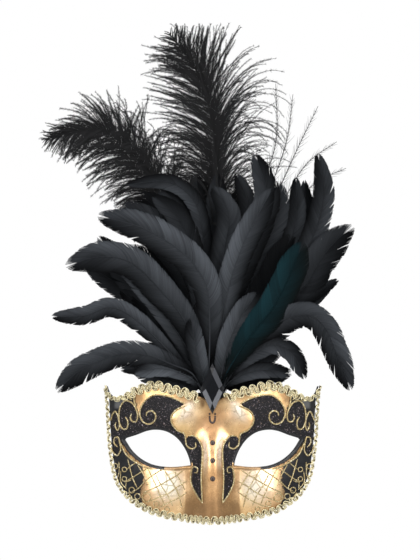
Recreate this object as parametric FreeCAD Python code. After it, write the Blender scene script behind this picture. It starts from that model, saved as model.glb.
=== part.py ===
import FreeCAD, Part
import math
import os

# Venetian half mask with a feather plume, in millimetres.
# +X is the right-hand side seen from the front, the face looks along -Y, +Z is up.
# The origin lies midway between the eyes, on the forehead surface before the nose stands out of it.

os.makedirs("parts", exist_ok=True)

V = FreeCAD.Vector

# ---- driving dimensions -------------------------------------------------------------------
HALF_WIDTH = 90.0        # radius across, of the elliptic arch that the mask face follows
ARCH_DEPTH = 62.0        # radius front to back, of the same arch
WHOLE = (-85.5, 85.5, -62.0, 60.0)   # x and z range over which the face surface is modelled
SHEET_STEP = 3.2         # distance between the points that the surface is drawn through
TRIM_MARGIN = 4.0        # how far a small piece of the surface reaches past the trim laid on it
VERTICAL_BOW = 0.0012    # how fast the face falls back towards forehead and cheek
WALL = 1.8               # thickness of the moulded shell
NOSE_RISE = 21.0         # how far the nose stands out at the bottom edge
NOSE_TOP = 28.0          # height at which the nose begins
NOSE_LENGTH = 78.0
NOSE_NARROW = 9.5
NOSE_WIDE = 15.0

GLUE = 0.06              # gap left by glue under trim
PANEL_THICK = 0.35
LINE_WIDTH = 1.1
LINE_THICK = 0.55
LATTICE_WIDTH = 0.8
LATTICE_THICK = 0.3
BRAID_TOP_WIDTH = 9.0
BRAID_EDGE_WIDTH = 7.0
BRAID_THICK = 2.0
BRAID_OVERHANG = 2.5     # how far the braid stands out past the shell's own edge

JEWEL_WIDTH = 16.0
JEWEL_HEIGHT = 34.0
JEWEL_THICK = 4.6
JEWEL_BEVEL = 0.52       # size of the flat table as a share of the stone
JEWEL_Z = 46.0
JEWEL_BACK_Y = -1.9
SETTING_RIM = 0.9
SETTING_THICK = 1.0

ROOT_Z = 33.0            # lower end of the quills, behind the shell
NECK_Z = 50.0            # height at which the quills leave the binding
ROOT_Y = 5.3             # front quill layer, just behind the shell
LAYER_STEP = 0.8         # distance between quill layers at the root
LAYER_SPREAD = 0.0135    # how much of that distance is added for each mm from the root
FEATHER_THICK = 0.35
OSTRICH_THICK = 1.0
PLUME_LEAN = 0.00025     # backward sweep of the whole plume
MIDDLE_LAYER = 7
QUILL_HALF = 0.8
LAST_LAYER = 17
BINDING_WIDTH = 20.0
BINDING_Z = 34.0
BINDING_TALL = 4.0
BINDING_WALL = 0.8
BINDING_SLACK = 0.5      # room between the front quills and the binding
PAD_GAP = 2.2            # from the rear quill layer to the felt pad
PAD_WIDTH = 30.0
PAD_THICK = 3.0
PAD_TALL = 18.0
PAD_DROP = 8.0           # how far the pad reaches below the quills
PAD_ROUND = 1.2

BEAD_RADIUS = 1.8
DROP_BEAD_RADIUS = 0.6

TIE_X = 71.0
TIE_Z = 12.0
TIE_HOLE_RADIUS = 2.0
TIE_PLATE = 1.2
TIE_FOOT = 9.0
TIE_REACH = 15.5

# ---- outlines, (x, z) of the right half ---------------------------------------------------
SHELL_TOP = ((0, 37.5), (9, 40.0), (18.5, 44.0), (28, 46.3), (43.6, 49.8), (56, 46.5),
             (66, 41.0), (73, 38.8), (78, 42.0), (80.5, 47.5))
SHELL_SIDE = ((80.5, 47.5), (78.6, 40), (77.6, 27), (77, 14), (75.3, -4), (72, -21), (66.3, -32.2),
              (58, -39.8), (47.4, -45.9), (34, -50), (17, -52.3), (0, -53.5))
EYE_UPPER = ((67, 8), (57.3, 10.9), (49.4, 13.9), (42.5, 14.9), (34.4, 13.5), (26.4, 8.4),
             (20.4, 0.3), (17.3, -7.5), (16.6, -11.4))
EYE_LOWER = ((16.6, -11.4), (27.5, -12.6), (37.8, -12.3), (45.9, -10.6), (53.9, -6.6),
             (60.8, -0.8), (67, 8))
PANEL_TOP = ((20.6, 34.1), (29.3, 38.4), (37.6, 40.4), (44.7, 40.2), (50.2, 36.4), (53.4, 31),
             (54.2, 26.5), (55.2, 23))
PANEL_TEMPLE = ((55.2, 23), (56, 26), (57.9, 30.8), (61.2, 35.4), (65.2, 36.4), (68.6, 32.5),
                (69.9, 26.2), (70.8, 23.6))
PANEL_SIDE = ((70.8, 23.6), (73, 27.4), (75.2, 24.6), (76.3, 19.5), (76.3, 12), (75.3, 3.5), (73, -3.5))
PANEL_EYE = ((73, -3.5), (70, 1.5), (69.4, 8.6), (57.6, 13.2), (49.6, 16.2), (42.5, 17.2),
             (33.4, 15.7), (24.8, 10.4), (18.4, 1.2), (15.4, -7), (14.9, -14))
PANEL_NOSE = ((14.9, -14), (15.2, -25), (11.6, -33), (7.4, -39), (8.2, -20.3), (7.3, -4.4),
              (7.3, -0.5), (8.6, 5), (13.4, 10.4), (17.6, 10.6), (20, 7.7))
PANEL_LOBE = ((20, 7.7), (21.6, 12.4), (26.5, 15.2), (30.4, 20.4), (30.4, 25.9), (26.5, 30.3),
              (20.6, 34.1))

SCROLLS = (
    ((20.6, 34.4), (29.3, 38.8), (37.6, 40.9), (44.7, 40.7), (50.4, 36.6), (53.9, 30.8),
     (54.3, 25.9), (51.8, 20.8), (46.9, 19.3), (43, 22.2), (42.6, 26.5), (45.6, 29.2), (48.9, 28),
     (49.6, 25.4)),
    ((19.2, 33), (26.5, 30.3), (30.4, 25.9), (30.4, 20.4), (26.5, 15), (21.1, 12.2), (20, 7.7),
     (19.2, 3.4), (15.5, 0.9), (12.3, 2.4), (12.6, 5.8)),
    ((17.6, 10.6), (13.4, 10.5), (8.6, 5), (7.3, -0.5), (7.3, -4.4), (8, -20.3), (7.2, -39.5)),
    ((7.2, -39.5), (11.8, -33), (15.6, -25), (15.8, -17), (13.6, -12.6), (10.8, -13.8),
     (11.2, -16.8), (13.2, -17)),
    ((65.2, 24.4), (63.4, 21), (64.4, 15.6), (67.2, 15.6), (69.6, 20), (70, 26.5), (68.6, 33),
     (65.2, 36.6), (60.8, 35.4), (57.4, 30.8), (56, 25.6), (57, 21.3), (60, 21.2), (61.4, 24.4),
     (60.4, 26.8)),
    ((70.2, 1.4), (73.4, 4.4), (73, 8.6), (70.6, 9), (69, 4.6), (68.6, -0.6), (71, -4.6),
     (74, -2)),
    ((69, 5), (65, -3.4), (60, -8), (52.5, -12.4)),
)
LATTICE_DOWN = (((63.6, -7.5), (60, -21.7), (56.5, -28.7)), ((55.8, -12), (51.9, -19.2), (48.5, -27)),
                ((48.5, -14.5), (45, -22), (39.5, -33), (36, -41)),
                ((42.4, -18.8), (38.1, -26.6), (33.5, -33.7), (30, -42)),
                ((36, -15), (30.3, -23), (26, -33), (23, -43)), ((30, -14.5), (25, -21), (20.5, -30)))
LATTICE_ACROSS = (((64.3, -14.9), (61.5, -12.8), (57.5, -10.1)),
                  ((66, -24.5), (60.1, -21.3), (53.7, -16.7), (48, -13)),
                  ((60.5, -31.5), (55.8, -28.7), (50.2, -23.4), (43, -18), (36.5, -14)),
                  ((52, -32), (45, -29), (38.1, -25.5), (28.2, -19.5), (22, -15.5)),
                  ((47, -38.5), (40, -35.5), (33.2, -32.3), (25.8, -27.3), (19.5, -23.5)),
                  ((40, -43), (32, -39.5), (24, -35), (19, -31.5)))
LATTICE_RINGS = ((73, -12.8, 2.4), (66.1, -15.1, 2.1), (66.1, -22.2, 2.1), (60.5, -30.5, 2.5),
                 (56.2, -35.1, 2.5), (49.4, -35.8, 3.6), (42, -40.5, 2.4), (34, -44.5, 2.2))

# ---- feathers: layer from the front, x at the neck, width, line of the shaft from neck to tip ----
FEATHERS = {
    "feather_front_left": (0, -5, 14, ((-9, 62), (-13, 80), (-16, 99))),
    "feather_front_right": (0, 5, 18, ((12, 79), (21, 99), (34, 118))),
    "feather_left_01": (1, -3, 24, ((-2, 97), (-5, 124), (-19, 145), (-51, 166), (-86, 176))),
    "feather_right_01": (1, 6, 24, ((21, 75), (47, 109), (58, 131), (68, 156))),
    "feather_left_02": (2, -7, 24, ((-17, 90), (-39, 120), (-62, 141), (-84, 145), (-110, 138))),
    "feather_right_02": (2, 2, 20, ((12, 120), (23, 154), (34, 176), (45, 196))),
    "feather_left_03": (3, -9, 20, ((-15, 57), (-30, 64), (-49, 71), (-69, 72), (-84, 67), (-99, 60),
                                    (-117, 44))),
    "feather_right_03": (3, 8, 20, ((20, 72), (47, 94), (60, 100), (73, 101), (84, 92), (93.5, 71),
                                    (100, 55), (104, 44.6))),
    "feather_right_04": (4, 9, 14, ((20, 64), (34, 74), (47, 79), (60, 72), (69.5, 53))),
    "feather_left_04": (4, -4, 17, ((-32, 97), (-60, 133), (-86, 160))),
    "feather_left_05": (5, -8, 15, ((-32, 73), (-53, 94), (-69, 105), (-79, 107), (-95, 101),
                                    (-121, 100))),
    "feather_right_05": (5, 6, 25, ((22, 80), (47, 106), (71, 124), (81, 142), (93, 157), (106, 168))),
    "feather_left_06": (6, -9, 11, ((-20, 57), (-45, 62), (-69, 60))),
    "feather_right_06": (6, 7, 13, ((17, 74), (28, 93), (38, 105), (45, 124))),
    "feather_centre_01": (6, 0, 20, ((2, 112), (9, 150), (12, 178), (0, 198))),
    "feather_left_07": (7, -5, 18, ((-9, 120), (-20, 164), (-29, 178), (-45, 191))),
    "feather_right_07": (7, 5, 18, ((39.5, 97), (66, 141), (79, 169), (84, 195), (79.5, 223))),
    "feather_centre_02": (8, 2, 20, ((14, 112), (28, 150), (41, 190), (32, 223))),
    "feather_left_08": (8, -8, 13, ((-25, 74), (-42, 91))),
    "feather_left_09": (9, -3, 13, ((-6, 142), (-9, 174), (-16, 190), (-32, 201), (-65, 199.5))),
    "feather_right_08": (9, 6, 15, ((30, 92), (54, 142), (63, 176), (63, 205))),
    "feather_left_10": (10, -6, 14, ((-27, 80), (-49, 109))),
    "feather_centre_03": (10, 2, 16, ((12, 110), (21, 142), (27, 184), (18, 208))),
    "feather_right_09": (10, 9, 11, ((30, 82), (60, 106), (95, 128))),
    "feather_left_11": (11, -4, 14, ((-12, 85), (-27, 112))),
    "feather_right_10": (11, 6, 13, ((32, 92), (62, 146), (70, 176), (69.5, 203))),
    "feather_left_12": (12, -7, 15, ((-20, 78), (-40, 95), (-69, 120))),
    "feather_centre_04": (12, 0, 18, ((2, 110), (3, 160), (4, 208))),
    "feather_right_11": (12, 9, 11, ((28, 78), (50, 95), (89, 121))),
    "feather_left_13": (13, -5, 21, ((-16, 110), (-34, 150), (-62, 182))),
    "feather_right_12": (13, 6, 21, ((24, 100), (45, 140), (60, 172))),
    "feather_centre_05": (14, -2, 20, ((-6, 110), (-9, 160), (-12, 208))),
    "feather_right_13": (14, 8, 21, ((30, 84), (54, 108), (82, 136))),
    "feather_left_14": (14, -8, 21, ((-28, 86), (-56, 114), (-96, 140))),
}
# Shorter feathers laid between the others, on the half layers; each group is one node.
FEATHER_GROUPS = {
    "feather_under_left": (
        (5.5, -7, 16, ((-16, 70), (-28, 88), (-40, 98))),
        (8.5, -6, 22, ((-20, 90), (-38, 122), (-62, 154))),
        (9.5, -4, 24, ((-12, 100), (-28, 140), (-50, 172), (-70, 184))),
        (10.5, -2, 24, ((-4, 110), (-12, 150), (-26, 184), (-40, 198))),
        (11.5, -8, 20, ((-24, 78), (-42, 100), (-60, 116))),
        (12.5, -6, 22, ((-26, 84), (-50, 116), (-80, 150))),
        (13.5, -3, 26, ((-10, 110), (-22, 150), (-40, 180), (-56, 192))),
        (14.5, -7, 22, ((-22, 84), (-40, 110), (-62, 132)))),
    "feather_under_right": (
        (5.5, 5, 18, ((16, 74), (30, 92), (40, 110))),
        (8.5, 5, 24, ((24, 90), (46, 130), (60, 162))),
        (9.5, 3, 24, ((16, 100), (36, 150), (48, 184), (50, 202))),
        (10.5, 7, 22, ((30, 84), (58, 116), (80, 142))),
        (11.5, 1, 24, ((8, 110), (18, 150), (24, 186), (20, 204))),
        (12.5, 6, 24, ((28, 90), (56, 130), (74, 166))),
        (13.5, 8, 20, ((28, 76), (52, 94), (76, 106))),
        (14.5, 4, 26, ((18, 104), (38, 150), (56, 190)))),
    "feather_tuft": (
        (2.5, -1, 18, ((-3, 70), (-6, 90), (-8, 114))),
        (3.5, -9, 12, ((-20, 56), (-38, 61), (-59, 58))),
        (3.5, 9, 12, ((22, 56), (40, 60), (58, 57))),
        (4.5, 2, 18, ((5, 72), (10, 96), (12, 122))),
        (6.5, -4, 18, ((-9, 72), (-20, 96), (-28, 118))),
        (7.5, -7, 16, ((-16, 60), (-30, 70), (-46, 78))),
        (7.5, 8, 16, ((18, 60), (34, 69), (52, 74))),
        (10.5, -8, 14, ((-18, 50.5), (-32, 55), (-46, 58.5), (-60, 60))),
        (11.5, 9, 14, ((18, 50.5), (32, 55), (46, 58.5), (60, 59)))),
}
TALL_SHAFT = ((1, 120), (1, 190), (1, 234), (-5, 265), (-17, 290), (-33, 312))
TALL_WIDTH = ((0, 0), (0.33, 8), (0.5, 36), (0.7, 44), (0.85, 34), (0.95, 14), (1, 3))
SIDE_SHAFT = ((-8, 90), (-20, 135), (-39, 187), (-65, 228), (-88, 243), (-112, 238), (-133, 232))
SIDE_WIDTH = ((0, 0), (0.4, 3), (0.55, 18), (0.7, 25), (0.85, 24), (0.95, 18), (1, 4))
COQUE_WIDTH = ((0, 0), (0.14, 0), (0.32, 0.62), (0.52, 0.95), (0.75, 1), (0.9, 0.85), (1, 0.3))
SPRAY_SPINES = (((-4, 60), (10, 130), (34, 190), (48, 232), (48, 276)),
                ((-1, 60), (15, 128), (40, 188), (56, 232), (61, 268)),
                ((2, 60), (20, 126), (46, 186), (64, 226), (80, 259)),
                ((5, 60), (25, 124), (52, 184), (72, 216), (94, 232)),
                ((8, 60), (30, 122), (58, 180), (80, 202), (101, 212)))


# ---- helpers ------------------------------------------------------------------------------
def mirror(points):
    """The same points on the other side of the face, in the opposite order."""
    return tuple((-x, z) for x, z in reversed(points))


def spline(points, y=0.0):
    curve = Part.BSplineCurve()
    curve.interpolate([V(x, y, z) for x, z in points])
    return curve.toShape()


def outline_face(*parts):
    """A flat face in the XZ plane, bounded by one smooth curve through each list of points."""
    return Part.Face(Part.Wire([spline(points) for points in parts]))


def polygon_face(points):
    corners = [V(x, 0, z) for x, z in points]
    return Part.Face(Part.makePolygon(corners + corners[:1]))


def blend(low, high, t):
    """0 below low, 1 above high, and a smooth rise between."""
    s = max(0.0, min(1.0, (t - low) / (high - low)))
    return s * s * (3 - 2 * s)


def bump(x, z, centre_x, centre_z, wide, tall):
    return math.exp(-((abs(x) - centre_x) / wide) ** 2 - ((z - centre_z) / tall) ** 2)


def mask_depth(x, z):
    """Y of the front of the face: an arch with the nose, brows, eye sockets and cheeks on it."""
    y = ARCH_DEPTH * (1 - math.sqrt(1 - (x / HALF_WIDTH) ** 2)) + VERTICAL_BOW * z * z
    rise = NOSE_RISE * blend(-NOSE_TOP, NOSE_LENGTH - NOSE_TOP, -z) ** 0.8
    half = NOSE_NARROW + (NOSE_WIDE - NOSE_NARROW) * max(0.0, min(1.0, (-z - 5) / 45))
    y -= rise * math.exp(-(abs(x) / half) ** 2.3)
    y -= 3.6 * bump(x, z, 27, 24, 12, 11)
    y += 4.6 * bump(x, z, 44, 1, 20, 13)
    y -= 4.6 * bump(x, z, 44, -32, 20, 14)
    return y


def mask_sheet(lift, region=WHOLE, step=SHEET_STEP):
    """The front surface of the face as one smooth sheet, moved forward by lift."""
    x0, x1, z0, z1 = region
    start, end = math.asin(x0 / HALF_WIDTH), math.asin(x1 / HALF_WIDTH)
    columns = math.ceil((end - start) * HALF_WIDTH / step)
    rows = math.ceil((z1 - z0) / step)
    grid = []
    for i in range(columns + 1):
        x = HALF_WIDTH * math.sin(start + (end - start) * i / columns)
        heights = [z0 + (z1 - z0) * j / rows for j in range(rows + 1)]
        grid.append([V(x, mask_depth(x, z) - lift, z) for z in heights])
    surface = Part.BSplineSurface()
    surface.interpolate(grid)
    return surface.toShape()


def prism(flat):
    """A flat XZ face pushed right through the mask, from front to back."""
    block = flat.extrude(V(0, 200, 0))
    block.translate(V(0, -90, 0))
    return block


def on_face(flats, lift, thick):
    """Thin pieces that follow the face: each flat outline, laid on it at lift, and thick outwards."""
    pieces = []
    for flat in flats:
        box = flat.optimalBoundingBox()
        region = (max(box.XMin - TRIM_MARGIN, WHOLE[0]), min(box.XMax + TRIM_MARGIN, WHOLE[1]),
                  box.ZMin - TRIM_MARGIN, box.ZMax + TRIM_MARGIN)
        for patch in mask_sheet(lift, region).common(prism(flat)).Faces:
            pieces.append(patch.makeOffsetShape(thick, 1e-3, fill=True))
    return pieces


def band(points, width, steps=0):
    """A flat ribbon of the given width along a smooth line of points."""
    curve = Part.BSplineCurve()
    curve.interpolate([V(x, 0, z) for x, z in points])
    count = steps or 3 * len(points)
    left, right = [], []
    for i in range(count + 1):
        t = curve.FirstParameter + (curve.LastParameter - curve.FirstParameter) * i / count
        spot, along = curve.value(t), curve.tangent(t)[0]
        across = V(-along.z, 0, along.x) * (width / 2)
        left.append(spot + across)
        right.append(spot - across)
    sides = []
    for edge in (left, right):
        side = Part.BSplineCurve()
        side.interpolate(edge)
        sides.append(side.toShape())
    ends = [Part.makeLine(left[0], right[0]), Part.makeLine(left[-1], right[-1])]
    return Part.Face(Part.Wire([sides[0], ends[1], sides[1], ends[0]]))


def inset(points, distance):
    """The line of points moved inwards, square to itself."""
    moved = []
    for i, (x, z) in enumerate(points):
        x0, z0 = points[max(i - 1, 0)]
        x1, z1 = points[min(i + 1, len(points) - 1)]
        length = math.hypot(x1 - x0, z1 - z0)
        moved.append((x + (z1 - z0) / length * distance, z - (x1 - x0) / length * distance))
    return tuple(moved)


def flip(shape):
    return shape.mirror(V(0, 0, 0), V(1, 0, 0))


def save(name, shape):
    if isinstance(shape, (list, tuple)):
        shape = shape[0] if len(shape) == 1 else Part.makeCompound(shape)
    shape.exportStep("parts/" + name + ".step")


# ---- shell and its painted and raised trim -------------------------------------------------
def make_shell():
    edge = outline_face(SHELL_TOP, SHELL_SIDE + mirror(SHELL_SIDE)[1:], mirror(SHELL_TOP))
    eye = outline_face(EYE_UPPER, EYE_LOWER)
    flat = edge.cut(eye).cut(flip(eye)).Faces[0]
    front = mask_sheet(0).common(prism(flat)).Faces[0]
    return front.makeOffsetShape(-WALL, 1e-3, fill=True)


def make_trim():
    outline = outline_face(PANEL_TOP, PANEL_TEMPLE, PANEL_SIDE, PANEL_EYE, PANEL_NOSE, PANEL_LOBE)
    panel = on_face([outline], GLUE, PANEL_THICK)
    lift = 2 * GLUE + PANEL_THICK
    scrolls = on_face([band(line, LINE_WIDTH) for line in SCROLLS], lift, LINE_THICK)
    for side, turn in (("right", lambda s: s), ("left", flip)):
        save("glitter_panel_" + side, [turn(s) for s in panel])
        save("scroll_relief_" + side, [turn(s) for s in scrolls])


def ring_face(x, z, radius, width):
    """A flat ring of the given outer radius."""
    outer = Part.Face(Part.Wire(Part.makeCircle(radius, V(x, 0, z), V(0, 1, 0))))
    inner = Part.Face(Part.Wire(Part.makeCircle(radius - width, V(x, 0, z), V(0, 1, 0))))
    return outer.cut(inner).Faces[0]


def make_lattice():
    """Two crossing families of lines, one lying over the other, with rings on top."""
    under = on_face([band(line, LATTICE_WIDTH) for line in LATTICE_DOWN], GLUE, LATTICE_THICK)
    over = on_face([band(line, LATTICE_WIDTH) for line in LATTICE_ACROSS],
                   2 * GLUE + LATTICE_THICK, LATTICE_THICK)
    rings = on_face([ring_face(x, z, radius, LATTICE_WIDTH) for x, z, radius in LATTICE_RINGS],
                    3 * GLUE + 2 * LATTICE_THICK, LATTICE_THICK)
    pieces = under + over + rings
    save("cheek_lattice_right", pieces)
    save("cheek_lattice_left", [flip(p) for p in pieces])


def make_braids():
    top = inset(SHELL_TOP, BRAID_TOP_WIDTH / 2 - BRAID_OVERHANG)[1:]
    lift = GLUE + PANEL_THICK + LINE_THICK + 2 * GLUE
    strip = on_face([band(top, BRAID_TOP_WIDTH, 30)], lift, BRAID_THICK)
    save("top_braid_right", strip)
    save("top_braid_left", [flip(s) for s in strip])
    side = inset(SHELL_SIDE, BRAID_EDGE_WIDTH / 2 - BRAID_OVERHANG)[1:-1]
    loop = side + ((0, side[-1][1] - 0.8),) + mirror(side)
    save("edge_braid", on_face([band(loop, BRAID_EDGE_WIDTH, 60)], lift, BRAID_THICK))


# ---- jewel and beads -----------------------------------------------------------------------
def lozenge(scale, y):
    """A tall diamond outline with its side corners cut off, at depth y."""
    half_w, half_h = JEWEL_WIDTH / 2 * scale, JEWEL_HEIGHT / 2 * scale
    corners = ((0, -1), (0.86, -0.13), (1, 0), (0.86, 0.13), (0, 1), (-0.86, 0.13), (-1, 0),
               (-0.86, -0.13))
    points = [V(a * half_w, y, JEWEL_Z + b * half_h) for a, b in corners]
    return Part.makePolygon(points + points[:1])


def make_jewel():
    girdle = JEWEL_BACK_Y - JEWEL_THICK * 0.25
    skirt = Part.makeLoft([lozenge(0.94, JEWEL_BACK_Y), lozenge(1, girdle)], True, True)
    crown = Part.makeLoft([lozenge(1, girdle), lozenge(JEWEL_BEVEL, JEWEL_BACK_Y - JEWEL_THICK)],
                          True, True)
    save("jewel", skirt.fuse(crown).removeSplitter())
    rim = 1 + SETTING_RIM / JEWEL_WIDTH * 2
    plate = Part.Face(lozenge(rim, JEWEL_BACK_Y + GLUE)).extrude(V(0, SETTING_THICK, 0))
    save("jewel_setting", plate)


def bead(x, z, radius, tall=1.0):
    """A low round dome standing on the face."""
    back = mask_depth(x, z) - GLUE - radius
    ball = Part.makeSphere(radius, V(0, 0, 0))
    stretch = FreeCAD.Matrix()
    stretch.scale(1, 0.55, tall)
    dome = ball.transformGeometry(stretch)
    dome.translate(V(x, back, z))
    return dome


def make_beads():
    dots = [bead(0, z, BEAD_RADIUS) for z in (5.5, -7.7, -21.2)]
    save("nose_dots", dots)
    loop = []
    count = 14
    for i in range(count + 1):
        turn = math.pi * i / count
        loop.append(bead(-2.6 * math.cos(turn), 25.5 - 5.4 * math.sin(turn), DROP_BEAD_RADIUS))
    save("drop_loop", loop)


# ---- plume ---------------------------------------------------------------------------------
def plume_depth(layer, x, z):
    """Y of a feather layer: the layers fan apart and sweep back with distance from the root."""
    reach = math.hypot(x, max(0.0, z - NECK_Z))
    fan = (layer - MIDDLE_LAYER) * LAYER_SPREAD * reach
    return ROOT_Y + layer * LAYER_STEP + fan + PLUME_LEAN * reach * reach


def width_at(profile, t):
    for (t0, w0), (t1, w1) in zip(profile, profile[1:]):
        if t <= t1:
            return w0 + (w1 - w0) * blend(t0, t1, t)
    return profile[-1][1]


def shaft_line(neck_x, path):
    return ((0.7 * neck_x, ROOT_Z), (neck_x, NECK_Z - 3)) + tuple(path)


def blade(layer, line, profile, half, thick, forward=0.0):
    """A thin curved blade along a shaft line, as wide as profile times half, plus the quill."""
    curve = Part.BSplineCurve()
    curve.interpolate([V(x, 0, z) for x, z in line])
    count = 18
    rows = []
    for i in range(count + 1):
        t = curve.FirstParameter + (curve.LastParameter - curve.FirstParameter) * i / count
        spot, along = curve.value(t), curve.tangent(t)[0]
        across = V(-along.z, 0, along.x) * (QUILL_HALF + half * width_at(profile, i / count))
        row = [spot + across, spot, spot - across]
        rows.append([V(p.x, plume_depth(layer, p.x, p.z) - forward, p.z) for p in row])
    sheet = Part.BSplineSurface()
    sheet.interpolate(rows)
    return sheet.toShape().extrude(V(0, thick, 0))


def coque(layer, neck_x, width, path):
    line = shaft_line(neck_x, path)
    return blade(layer, line, COQUE_WIDTH, width / 2 - QUILL_HALF, FEATHER_THICK)


def make_feathers():
    for name, feather in FEATHERS.items():
        save(name, coque(*feather))
    for name, group in FEATHER_GROUPS.items():
        save(name, [coque(*feather) for feather in group])


def make_ostrich():
    bare = ((0, 0), (1, 0))
    for name, layer, neck_x, path, profile in (
            ("ostrich_tall", 16, 1, TALL_SHAFT, TALL_WIDTH),
            ("ostrich_side", 17, -3, SIDE_SHAFT, SIDE_WIDTH)):
        line = shaft_line(neck_x, path)
        save(name + "_quill", blade(layer, line, bare, 1, FEATHER_THICK, forward=FEATHER_THICK + GLUE))
        plume = line[2:]
        save(name + "_vane", blade(layer, plume, profile, 1, OSTRICH_THICK))


def make_spray():
    bare = ((0, 0), (1, 0))
    save("spine_spray", [blade(15, ((0.7 * path[0][0], ROOT_Z),) + path, bare, 1, FEATHER_THICK)
                         for path in SPRAY_SPINES])


def make_plume_base():
    """The binding round the quills, and the felt pad that lies between it and the forehead."""
    back = plume_depth(LAST_LAYER, 0, NECK_Z) + PAD_GAP
    pad = Part.makeBox(PAD_WIDTH, PAD_THICK, PAD_TALL, V(-PAD_WIDTH / 2, back, ROOT_Z - PAD_DROP))
    save("plume_pad", pad.makeFillet(PAD_ROUND, pad.Edges))
    front = ROOT_Y - BINDING_SLACK - BINDING_WALL
    deep = back - GLUE - front
    outer = Part.makeBox(BINDING_WIDTH, deep, BINDING_TALL, V(-BINDING_WIDTH / 2, front, BINDING_Z))
    inner = Part.makeBox(BINDING_WIDTH - 2 * BINDING_WALL, deep - 2 * BINDING_WALL, 2 * BINDING_TALL,
                         V(BINDING_WALL - BINDING_WIDTH / 2, front + BINDING_WALL,
                           BINDING_Z - BINDING_TALL / 2))
    save("stem_binding", outer.cut(inner))


def make_tie_loops():
    """A lug inside each temple: a foot glued to the shell and a pierced plate that stands back."""
    half = TIE_FOOT / 2
    corners = ((TIE_X - half, TIE_Z - half), (TIE_X + half, TIE_Z - half),
               (TIE_X + half, TIE_Z + half), (TIE_X - half, TIE_Z + half))
    region = (TIE_X - TIE_FOOT, TIE_X + TIE_FOOT, TIE_Z - TIE_FOOT, TIE_Z + TIE_FOOT)
    spot = mask_sheet(0, region).common(prism(polygon_face(corners))).Faces[0]
    foot = spot.makeOffsetShape(-(WALL + GLUE), 1e-3).Faces[0].makeOffsetShape(-TIE_PLATE, 1e-3, fill=True)
    start = mask_depth(TIE_X, TIE_Z) + WALL + TIE_PLATE
    plate = Part.makeBox(TIE_PLATE, TIE_REACH, TIE_FOOT, V(TIE_X - TIE_PLATE / 2, start, TIE_Z - half))
    hole = Part.makeCylinder(TIE_HOLE_RADIUS, 3 * TIE_PLATE,
                             V(TIE_X - 1.5 * TIE_PLATE, start + TIE_REACH - TIE_FOOT / 2, TIE_Z),
                             V(1, 0, 0))
    lug = foot.fuse(plate.cut(hole)).removeSplitter()
    save("tie_loop_right", lug)
    save("tie_loop_left", flip(lug))


save("mask_shell", make_shell())
make_trim()
make_lattice()
make_braids()
make_jewel()
make_beads()
make_feathers()
make_ostrich()
make_spray()
make_plume_base()
make_tie_loops()
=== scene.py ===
import math

import bmesh
import bpy
import numpy as np
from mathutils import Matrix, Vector, geometry, kdtree


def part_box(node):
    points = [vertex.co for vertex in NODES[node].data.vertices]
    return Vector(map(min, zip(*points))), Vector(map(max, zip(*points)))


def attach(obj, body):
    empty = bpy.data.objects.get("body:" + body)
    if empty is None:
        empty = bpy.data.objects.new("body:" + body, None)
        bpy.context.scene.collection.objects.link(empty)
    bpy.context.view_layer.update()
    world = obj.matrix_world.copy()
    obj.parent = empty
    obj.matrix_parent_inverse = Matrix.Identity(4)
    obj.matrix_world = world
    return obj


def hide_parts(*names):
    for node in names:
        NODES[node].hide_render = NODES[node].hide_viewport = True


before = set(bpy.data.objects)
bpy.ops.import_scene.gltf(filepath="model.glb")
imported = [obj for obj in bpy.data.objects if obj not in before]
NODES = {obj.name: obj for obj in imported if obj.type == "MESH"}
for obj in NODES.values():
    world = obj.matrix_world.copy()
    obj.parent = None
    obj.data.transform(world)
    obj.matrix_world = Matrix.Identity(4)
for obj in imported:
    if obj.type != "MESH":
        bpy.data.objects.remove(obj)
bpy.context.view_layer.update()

# Venetian half mask. Shapes are worked out in millimetres and turned into metres when a mesh is made.
MM = 0.001
BODY = "root"

# ---- the face, as in the design: an elliptic arch with nose, brows, sockets and cheeks ---------
HALF_WIDTH = 90.0
ARCH_DEPTH = 62.0
VERTICAL_BOW = 0.0012
WALL = 1.8
NOSE_RISE = 21.0
NOSE_TOP = 28.0
NOSE_LENGTH = 78.0
NOSE_NARROW = 9.5
NOSE_WIDE = 15.0

# ---- the plume's layers -------------------------------------------------------------------------
ROOT_Z = 33.0
NECK_Z = 50.0
ROOT_Y = 5.3
LAYER_STEP = 0.8
LAYER_SPREAD = 0.0135
PLUME_LEAN = 0.00025
MIDDLE_LAYER = 7

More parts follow.
